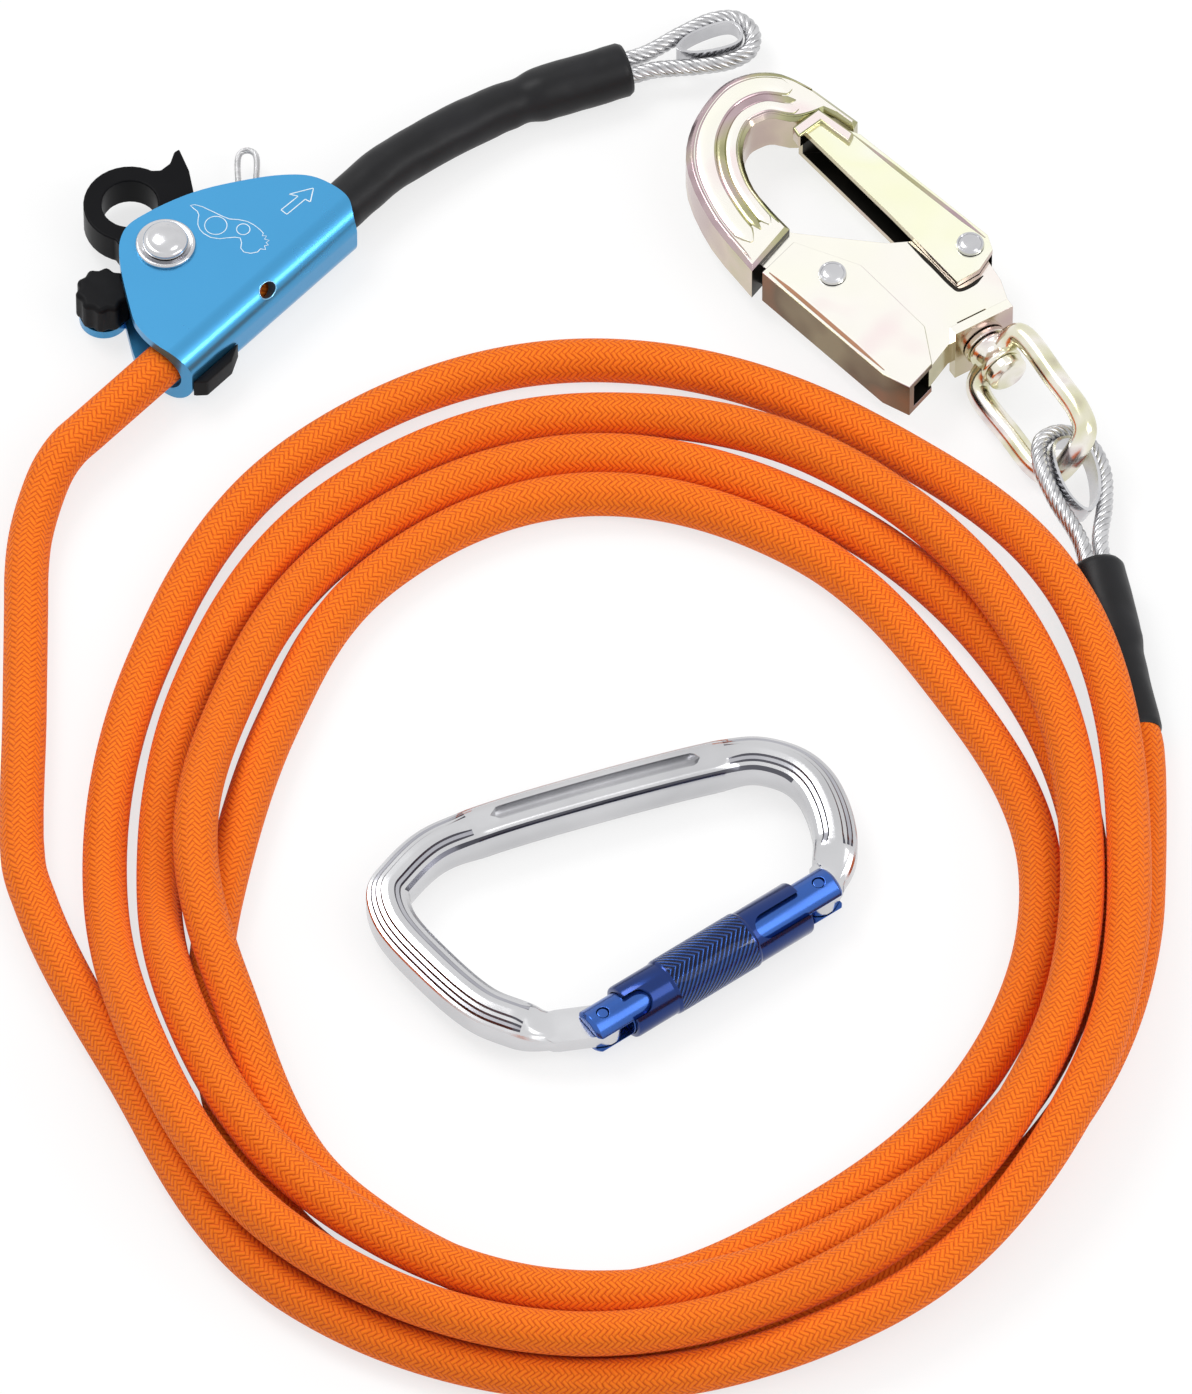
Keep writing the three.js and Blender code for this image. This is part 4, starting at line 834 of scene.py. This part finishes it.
# Gate: barrel, twist sleeve with a U slot at each end and a knurled grip
GATE = CARABINER @ place_at(*HINGE_PIN, FRAME_MIDDLE, GATE_YAW)
ALONG_X = Matrix.Rotation(pi / 2, 4, "Y")
SLEEVE_START = 0.007
SLEEVE_END = GATE_LENGTH - 0.007
KNURL = (0.021, 0.049)
WING, GRIP, BORE = 0.008, 0.0084, 0.00662
SLEEVE_EDGE = [(BORE, 0), (WING - 0.0006, 0), (WING - 0.0002, 0.0002), (WING, 0.0007)]
GRIP_STEP = [(WING, -0.0003), (GRIP - 0.0001, 0.0002), (GRIP, 0.0006)]
sleeve_profile = ([(r, SLEEVE_START + x) for r, x in SLEEVE_EDGE] + [(r, KNURL[0] + x) for r, x in GRIP_STEP]
                  + [(r, KNURL[1] - x) for r, x in reversed(GRIP_STEP)]
                  + [(r, SLEEVE_END - x) for r, x in reversed(SLEEVE_EDGE)] + [(BORE, SLEEVE_START)])
SLOT_RADIUS = 0.0037
shell = fixed_normals(welded(join("gate_sleeve_finish", [lathe(sleeve_profile, 72, ALONG_X)]), 1e-7))
tilt = Matrix.Rotation(radians(28), 4, "X")
for start, end in (((SLEEVE_START - 0.004, 0), (0.0102, 0)), ((SLEEVE_END + 0.004, 0), (KNURL[1] + 0.0052, 0))):
    boolean(shell, prism(capsule(start, end, SLOT_RADIUS, 12), 0.001, 0.012, tilt))
shell.data.transform(GATE)
sharp_by_angle(smoothed(shell), 30)
KNURL_APEX = -0.08
KNURL_AROUND, KNURL_ALONG = 15.0, 1950.0
KNURL_SHADE_STOPS = [(0.0, 0.001, 0.002, 0.012), (0.5, 0.009, 0.032, 0.16), (1.0, 0.03, 0.1, 0.38)]


def knurl_material():
    """Anodised blue with a chevron knurl on the grip, by the gate's own axis."""
    mat, tree, shader = material("dark_blue_knurl", (0.012, 0.045, 0.23), 0.2, 0.9, 0.3)
    calc = calculator(tree)
    centre = tuple(GATE.translation)
    swung = node(tree, "VectorRotate", {
        "Center": centre, "Axis": (0, 0, 1), "Angle": -radians(CARABINER_YAW + GATE_YAW)},
        {"Vector": node(tree, "TexCoord").outputs["Object"]}, rotation_type="AXIS_ANGLE")
    offset = node(tree, "VectorMath", {1: centre}, {0: swung.outputs[0]}, operation="SUBTRACT")
    along, side, up = node(tree, "SeparateXYZ", links={"Vector": offset.outputs[0]}).outputs
    fold = calc("ABSOLUTE", calc("SUBTRACT", calc("ARCTAN2", side, up), KNURL_APEX))
    ridge = calc("ADD", calc("MULTIPLY", fold, KNURL_AROUND), calc("MULTIPLY", along, KNURL_ALONG))
    wave = calc("SINE", calc("MULTIPLY", ridge, 2.0))
    grip = calc("MULTIPLY", calc("GREATER_THAN", along, KNURL[0] + 0.0008),
                calc("LESS_THAN", along, KNURL[1] - 0.0008))
    height = calc("MULTIPLY", wave, grip)
    level = node(tree, "MapRange", {"From Min": -1, "From Max": 1}, {"Value": height}).outputs[0]
    # Painted shade and highlight: colour follows the knurl's height, its grooves darker and its ridges lighter
    coloured(tree, shader, level, KNURL_SHADE_STOPS)
    bump(tree, shader, height, 0.9, 0.0003)
    return mat


dress(shell, "twist", "blue_alloy", "gate_sleeve", mat=knurl_material())
barrel_blue = metal("bright_blue_anodised", (0.04, 0.13, 0.46), (0.03, 0.10, 0.38), (0.16, 0.24), 40, 0.9, 0.3)
dressed_copy("gate_barrel", "gate", "blue_alloy", 0.0004, mat=barrel_blue)
dressed_copy("gate_hinge_pin", "carabiner", "steel", mat=barrel_blue)
dressed_copy("gate_nose_pin", "gate", "steel", mat=barrel_blue)
for spring_name, spring_body in (("gate_spring", "gate"), ("sleeve_spring", "gate"), ("cam_spring", "grab")):
    dressed_copy(spring_name, spring_body, "wire", 0)

# Snap hook: its own frame has X from the nose to the swivel and Y towards the keeper
HOOK = place_at(0.1716, 0.0062, 0, -46)
HOOK_LENGTH = 0.115
HOOK_TOP = 0.02
BAND_TOP, VALLEY_TOP = HOOK_TOP + 0.0003, HOOK_TOP + 0.00008
PLATE_LOW, PLATE_HIGH, PLATE_EASE = 0.008, 0.017, 0.00035
JAW_OUTER = [(-14.5, -13.4), (-33, -10), (-48.8, -2.6), (-56, 6), (-59.5, 15.8), (-60, 22.6), (-57.5, 29),
             (-53, 33.4), (-43, 36)]
JAW_INNER = [(-17.3, 2.2), (-25, 3), (-33.4, 4.8), (-42.2, 10.3), (-46, 16.5), (-45.6, 20), (-44.5, 22.5),
             (-39.6, 26), (-37, 33)]
outer_side, inner_side = (catmull_rom(of_length(side, HOOK_LENGTH), 9) for side in (JAW_OUTER, JAW_INNER))
# A band's section: share across, and how far below its top
BAND_SECTION = [(0.0, 0.0016), (0.0, 0.0007), (0.05, 0.00025), (0.13, 0.0), (0.87, 0.0), (0.95, 0.00025),
                (1.0, 0.0007), (1.0, 0.0016)]
FLAT, PAINTED_SLOPE, PAINTED_SIDE, PAINTED_GAP = 0, 1, 2, 3
LEVEL, STEEP = 0.985, 0.3


def jaw_band(low_share, high_share, top, first, last):
    """A raised, rounded band along the jaw between two shares of its width."""
    rings = []
    middle = (low_share + high_share) / 2
    for i in range(first, last + 1):
        end = min(1.0, (min(i - first, last - i) + 0.35) / 2.0)
        shares = [middle + (low_share + (high_share - low_share) * across - middle) * end
                  for across, _ in BAND_SECTION]
        rings.append([(*between(outer_side[i], inner_side[i], share), top - drop)
                      for share, (_, drop) in zip(shares, BAND_SECTION)])
    verts, faces, _ = skin(outer_side[first:last + 1], np.array(rings))
    return moved(verts, HOOK), faces


def painted_by_facing(obj):
    """Painted shade by facing: slopes and steep sides take darker, tinted copies of the film, and flats keep the
    plain film.
    """
    obj.data.materials.append(ZINC_SLOPE_SHADE)
    obj.data.materials.append(ZINC_SIDE_SHADE)
    for face in obj.data.polygons:
        upright = abs(face.normal.z)
        face.material_index = FLAT if upright > LEVEL else PAINTED_SLOPE if upright > STEEP else PAINTED_SIDE
    return obj


last_band = len(outer_side) - 8
# Painted shade: the bands take the shaded films on their slopes and sides, and the valleys between them are shaded
# all over
bands = fixed_normals(join("hook_jaw_bands", [
    jaw_band(0.13, 0.52, BAND_TOP, 3, last_band), jaw_band(0.66, 0.9, BAND_TOP, 4, last_band)]))
painted_by_facing(dress(sharp_by_angle(bands, 50), "hook", "zinc"))
valleys = fixed_normals(join("hook_jaw_valleys", [
    jaw_band(0.065, 0.14, VALLEY_TOP, 1, last_band + 6), jaw_band(0.5, 0.68, VALLEY_TOP, 4, last_band),
    jaw_band(0.89, 0.94, VALLEY_TOP, 3, last_band + 6)]))
dress(valleys, "hook", "zinc", mat=ZINC_SLOPE_SHADE)
body_piece = painted_by_facing(dressed_copy("hook_body", "hook", "zinc", 0.0010, 30, 4))
body_piece.data.materials.append(ZINC_PAINTED_SHADE)
to_hook = HOOK.inverted()
# Painted shade: steep faces of the body within this box, a gap, take the near-black zinc
for face in body_piece.data.polygons:
    middle = to_hook @ face.center
    if abs(face.normal.z) < STEEP and -0.0215 < middle.x < -0.0135 and -0.018 < middle.y < 0.006:
        face.material_index = PAINTED_GAP
# The nose's lip, and later the strips and marks, in micrometres as laid out
LIP = [(160370, 56616), (167930, 63452), (178010, 54565), (176610, 51147), (168490, 58667), (162330, 53198)]
lip = join("hook_nose_lip", [prism(in_steps(LIP, MICRON), 0.0150, 0.0206)])
painted_by_facing(dress(fixed_normals(finished(lip, 0.0007, 30, 3)), "hook", "zinc"))


def painted_shade_inside(obj, low, high, mat):
    """The sheet's inner faces, between the two flanges, take painted shade."""
    obj.data.materials.append(mat)
    for face in obj.data.polygons:
        heights = [obj.data.vertices[i].co.z for i in face.vertices]
        if min(heights) > low and max(heights) < high:
            face.material_index = len(obj.data.materials) - 1


# The keeper and the lock lever: painted shade by facing, and painted shade inside
for sheet_name, sheet_body, sheet_film in (("hook_keeper", "keeper", ZINC_YELLOW), ("lock_lever", "lock", None)):
    sheet = painted_by_facing(dressed_copy(sheet_name, sheet_body, "zinc", 0.0011, 30, 4, sheet_film))
    painted_shade_inside(sheet, PLATE_LOW - PLATE_EASE, PLATE_HIGH + PLATE_EASE, ZINC_PAINTED_SHADE)
    # The lock lever's sides take the rope's painted reflection instead
    if sheet_name == "lock_lever":
        sheet.data.materials[PAINTED_SIDE] = ZINC_BROWN_REFLECTION
STRIP_WIDTH = 0.0012
STRIP_LIFT = 0.00005
STRIP_TAPER = 5.0


def painted_strip(name, points, z, body, mat):
    """A thin, tapered line of painted shade, shadow or reflection along one of the hook's flats, at height z."""
    line = catmull_rom(in_steps(points, MICRON), 6)
    from_end = np.minimum(np.arange(len(line)), np.arange(len(line))[::-1]) + 1
    half = STRIP_WIDTH / 2 * np.minimum(1.0, from_end / STRIP_TAPER)[:, None]
    dress(join(name, [flat_line(line, z + STRIP_LIFT, half)], smooth=False), body, "zinc", mat=mat)


# Painted shade along the keeper's edge, the rope's painted reflection along the lever's edge, and a painted contact
# shadow round the keeper's end
painted_strip("keeper_edge_painted_shade", [(177757, 54956), (194238, 38918), (205204, 28276), (214842, 18921)],
      0.0193, "keeper", ZINC_SLOPE_SHADE)
painted_strip("lever_edge_painted_reflection", [(153783, 6769), (162122, -1743), (173806, -14130), (186052, -27127)],
      0.0193, "lock", ZINC_ROPE_REFLECTION)
painted_strip("keeper_contact_painted_shadow", [(192955, 18954), (199958, 10607), (205494, 3720), (207247, 2361), (211079, 4173),
      (214189, 7344)], 0.017, "keeper", ZINC_PAINTED_SHADE)

# Rivets: a round head with a dished rim, above and below; then the springs, each with a mesh of its own
RIVET_HEAD = in_steps([(0, 208), (18, 208), (27, 206), (30, 204), (32, 203), (34, 205), (38, 203), (40, 197),
                       (40, 196)])
RIVET_SHANK = in_steps([(26, 195), (26, 55)])
HOOK_MIDDLE = 0.0125
rivet_profile = RIVET_HEAD + RIVET_SHANK + [(r, 2 * HOOK_MIDDLE - h) for r, h in reversed(RIVET_HEAD)]
for rivet_name, (x, y) in (("keeper_rivet", (0.0197, 0.0351)), ("lever_rivet", (0, 0))):
    rivet = turned(rivet_name + "_finish", rivet_profile, 32, HOOK @ place_at(x, y), 40)
    dress(rivet, "hook", "steel", rivet_name)
for spring_name, joint, anchor_at, kept in (("keeper_spring", "keeper_swing", (0.007, 0.0302), 0.3),
                                            ("lever_spring", "lock_squeeze", (0.026, -0.0073), 0.12)):
    obj = dressed_copy(spring_name, "hook", "wire", 0)
    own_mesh(obj)

# Swivel: a round-rod ring with a waisted boss
SWIVEL = place_at(0.2175, -0.0178, HOOK_MIDDLE, -58.8)
RING_ROLL = SWIVEL @ Matrix.Rotation(radians(50), 4, "X")
RING_LENGTH = 0.0407
RING_ROD = 0.0034
RING_HALF = [(0, 9), (0, 18.5), (3, 25), (11, 28.2), (50, 27.8), (82, 26.8), (95.5, 21)]
ring_path = catmull_rom(looped(of_length(RING_HALF, RING_LENGTH), RING_LENGTH, 0), 8)
ring_verts, ring_faces, _ = skin(ring_path, tube(ring_path, RING_ROD, 24))
BOSS_EDGE = in_steps([(43.5, 40), (58, 40), (63, 36), (64, 30), (62, 24), (56, 18)])
boss_profile = [(r, -h) for r, h in BOSS_EDGE] + BOSS_EDGE[::-1] + [(BOSS_EDGE[0][0], -BOSS_EDGE[0][1])]
ring_piece = fixed_normals(join("swivel_ring_finish", [
    (moved(ring_verts, RING_ROLL), ring_faces), lathe(boss_profile, 40, RING_ROLL @ ALONG_X)]))
dress(sharp_by_angle(ring_piece, 60), "ring", "zinc", "swivel_ring", mat=ZINC_RING)
dressed_copy("swivel_washer", "hook", "zinc", mat=ZINC_RING)
dressed_copy("swivel_pin", "hook", "zinc", 0.0005, 30, 3, ZINC_RING)

# Rope grab: its frame has X along the rope and Y towards the lever
AXLE = (0.0, 0.0225)
CHEEK_LENGTH = 0.074
MOUTH = 0.027
DEPTH = 0.0209
WALL = 0.003
FOLD = 0.008
CORNER = FOLD - 0.0106
REACH = 0.0364
PAST = 0.001
CHEEK_SHARES = [(5, -19), (1, -8), (0, 4), (2, 14), (7, 22), (19, 38), (26, 44.5), (33, 47.3), (43, 46), (62, 39.5),
                (78, 30), (91, 20), (98, 11.5), (100.5, 2), (100, -6), (96, -13), (95, -19)]
KNOB_AT = (-0.0196, 0.0284)
AXLE_BORE, SCREW_BORE, EAR_RADIUS = 0.00325, 0.0022, 0.007
SIGHT_AT, SIGHT_ALONG, SIGHT_AROUND = 0.0092, 0.003, 0.0023
SIGHT_TURN = radians(45)


def folded_housing():
    """The folded sheet: a rolled channel cut to the cheeks' outline, then drilled."""
    section = ([(REACH, 0)] + arc_points(CORNER, FOLD, FOLD, 270, 180, 24)
               + arc_points(CORNER, DEPTH - FOLD, FOLD, 180, 90, 24) + [(REACH, DEPTH), (REACH, DEPTH - WALL)]
               + arc_points(0, DEPTH / 2, DEPTH / 2 - WALL, 90, 270, 28) + [(REACH, WALL)])
    lengthwise = Matrix(((0, 0, 1, 0), (1, 0, 0, 0), (0, 1, 0, 0), (0, 0, 0, 1)))
    channel = prism(section, -MOUTH - PAST, CHEEK_LENGTH - MOUTH + PAST, lengthwise)
    made = fixed_normals(join("housing_finish", [channel]))
    outline = catmull_rom([(x - MOUTH, y) for x, y in of_length(CHEEK_SHARES, CHEEK_LENGTH)], 5).tolist()
    drill = place_at(SIGHT_AT, CORNER, DEPTH - FOLD) @ Matrix.Rotation(SIGHT_TURN, 4, "X")
    for operation, block in (
            ("INTERSECT", prism(outline, -PAST, DEPTH + PAST)),
            ("UNION", prism(oval(*KNOB_AT, EAR_RADIUS, EAR_RADIUS), 0, WALL)),
            ("DIFFERENCE", prism(oval(*AXLE, AXLE_BORE, AXLE_BORE), -PAST, DEPTH + PAST)),
            ("DIFFERENCE", prism(oval(*KNOB_AT, SCREW_BORE, SCREW_BORE), -PAST, WALL + PAST)),
            ("DIFFERENCE", prism(oval(0, 0, SIGHT_ALONG, SIGHT_AROUND, 36), 0, FOLD * 1.2, drill))):
        boolean(made, block, operation)
    made.data.transform(GRAB)
    return finished(made, 0.0005, 30, 3)


dress(folded_housing(), "grab", "anodised", "housing")
dressed_copy("cam_lever", "cam", "black_alloy", 0.0009, 30, 3)
dressed_copy("thumb_knob", "knob", "black_plastic", 0.0006, 28, 3)
dressed_copy("mouth_guard", "grab", "black_plastic", 0.0006)
for small in ("axle_nut", "cam_bush", "knob_screw", "leash_stud"):
    dressed_copy(small, "grab", "steel")
AXLE_FRAME = GRAB @ place_at(*AXLE)
WASHER_PROFILE = in_steps([
    (32.5, 209), (83, 209), (85, 211), (85, 217), (83, 220), (79, 222), (74, 220.5), (70, 219), (66, 219),
    (32.5, 219), (32.5, 209)])
DOME_PROFILE = in_steps([
    (0, 256), (16, 255.4), (30, 253), (40, 249.2), (46, 246), (49, 243), (52, 242.5), (58, 241), (62, 237),
    (64, 232), (64, 226), (61, 223), (30, 223), (30, 9), (0, 9)])
for turned_name, profile in (("axle_washer", WASHER_PROFILE), ("axle_bolt", DOME_PROFILE)):
    dress(turned(turned_name + "_finish", profile, 64, AXLE_FRAME, 45), "grab", "steel", turned_name)

# Outline marks on the cheek: a plain cam with its two holes, and an arrow, in fine pale lines
CAM_OUTLINE = [
    (-9714, 28996), (-8496, 29267), (-6392, 28591), (-3347, 26833), (-855, 25346), (1360, 24265),
    (3851, 24062), (6343, 23454), (8447, 22102), (10219, 20345), (10994, 19263), (10662, 18452), (11880, 18317),
    (11326, 17236), (12655, 16830), (11769, 16019), (12434, 15208), (11326, 14938), (11658, 13586), (10219, 13856),
    (9388, 12775), (7450, 12302), (5512, 12775), (4627, 14127), (4848, 16019), (4460, 17641), (3021, 17912),
    (806, 17709), (-1409, 17371), (-3900, 17844), (-5838, 19196), (-6946, 20548), (-7555, 22373), (-7499, 24265),
    (-7278, 25617), (-7721, 26969), (-8883, 28050)]
ARROW = [(25058, 35079), (24172, 30213), (22732, 31159), (17583, 25887), (15922, 27442), (20739, 32241),
         (18137, 32916)]
ARROW_LINES = [between(a, b, t) for a, b in zip(ARROW, ARROW[1:] + ARROW[:1]) for t in (0.03, 0.5, 0.97)]
MARK_LIFT = 0.00004
LINE, ARROW_LINE = 0.00026, 0.00032
marks = join("cheek_marks", [
    flat_line(np.array(places) * MICRON, DEPTH + MARK_LIFT, width / 2, closed=True) for places, width in (
        (CAM_OUTLINE, LINE), (oval(-2461, 22035, 3156, 3159), LINE), (oval(5291, 20683, 1883, 1884), LINE),
        (ARROW_LINES, ARROW_LINE))], smooth=False)
mark_mat, mark_tree, mark_shader = material("pale_mark", (0.72, 0.82, 0.88), 0.55)
coloured(mark_tree, mark_shader, grain(mark_tree, 400, 3), [(0.3, 0.55, 0.72, 0.82), (0.7, 0.82, 0.9, 0.95)])
dress(marks, "grab", "anodised", mat=mark_mat)

# Painted highlight: a thin, light blue rim round the sight hole, on the rolled edge
RIM_RADIUS = 0.0002
RIM_REACH = FOLD + 0.00002
rim = []
for a in round_turn(48):
    turn = SIGHT_TURN + SIGHT_AROUND * sin(a) / FOLD
    rim.append((SIGHT_AT + SIGHT_ALONG * cos(a), CORNER - RIM_REACH * sin(turn),
                DEPTH - FOLD + RIM_REACH * cos(turn)))
rim = np.array(rim)
rim_out = unit(rim - rim.mean(axis=0))
rim_rings = [[p + RIM_RADIUS * (cos(b) * out + sin(b) * np.cross(along, out)) for b in round_turn(8)]
             for p, along, out in zip(rim, headings(rim, closed=True), rim_out)]
rim_verts, rim_faces, _ = skin(rim, np.array(rim_rings), loop=True)
rim_piece = fixed_normals(join("sight_hole_rim", [(moved(rim_verts, GRAB), rim_faces)]))
# Painted highlight: much lighter than the anodised blue
rim_highlight = metal("sight_rim_painted_highlight", (0.3, 0.6, 0.82), (0.2, 0.5, 0.75), (0.15, 0.2), 60)
dress(rim_piece, "grab", "anodised", mat=rim_highlight)

# Floor, lamps and world: a plain white studio whose light comes from above
LAMP_AIM = Vector((0.1, -0.12, 0))
for lamp_name, location, size, power in (
        ("key", (-0.7, 0.7, 1.7), (0.8, 0.8), 12.5),
        ("side", (2.0, -0.6, 1.2), (0.35, 0.5), 6),
        ("fill", (1.3, -0.7, 1.5), (1.0, 1.0), 6)):
    lamp_data = bpy.data.lights.new(lamp_name, "AREA")
    lamp_data.shape = "RECTANGLE"
    lamp_data.size, lamp_data.size_y = size
    lamp_data.energy = power
    lamp = added(lamp_name, lamp_data)
    lamp.location = location
    lamp.rotation_euler = (LAMP_AIM - Vector(location)).to_track_quat("-Z", "Y").to_euler()


def background_rays(tree):
    """One for the rays that show the background: the camera's own, reflected and let through."""
    rays = node(tree, "LightPath").outputs
    calc = calculator(tree)
    return calc("MAXIMUM", calc("MAXIMUM", rays["Is Camera Ray"], rays["Is Glossy Ray"]), rays["Is Transmission Ray"])


world = bpy.data.worlds.new("world")
bpy.context.scene.world = world
world.use_nodes = True
tree = world.node_tree
tree.nodes.clear()
sky = node(tree, "TexCoord").outputs["Generated"]
sky_height = node(tree, "SeparateXYZ", links={"Vector": sky}).outputs[2]
studio = ramp(tree, sky_height, [(0.0, 0.5, 0.5, 0.5), (0.03, 0.03, 0.03, 0.035), (0.4, 0.06, 0.06, 0.065),
                                 (0.56, 0.75, 0.75, 0.75), (0.7, 1.0, 1.0, 1.0)])
plain = node(tree, "Background", {"Strength": 0.95}, {"Color": studio})
white = node(tree, "Background", {"Color": (1, 1, 1, 1), "Strength": 1.0})
mixed = node(tree, "MixShader", links={0: background_rays(tree), 1: plain.outputs[0], 2: white.outputs[0]})
node(tree, "OutputWorld", links={"Surface": mixed.outputs[0]})

FLOOR_HALF = 6.0
FLOOR_DROP = 0.0002
FLOOR_GLOW = 0.72
floor = piece("floor", [(x * FLOOR_HALF, y * FLOOR_HALF, 0) for x, y in ((-1, -1), (1, -1), (1, 1), (-1, 1))],
              [(0, 1, 2, 3)], smooth=False)
floor.location.z = -FLOOR_DROP
floor_mat, tree, floor_shader = material("floor", (0.96, 0.96, 0.96), 0.9)
glow = node(tree, "Emission", {"Color": (1, 1, 1, 1), "Strength": 1.0})
floor_shown = calculator(tree)("MULTIPLY", background_rays(tree), FLOOR_GLOW)
floor_mix = node(tree, "MixShader", links={0: floor_shown, 1: floor_shader.outputs[0], 2: glow.outputs[0]})
tree.links.new(floor_mix.outputs[0], tree.nodes["Material Output"].inputs["Surface"])
floor.data.materials.append(floor_mat)

bpy.context.scene.view_settings.view_transform = "Standard"
bpy.context.view_layer.update()
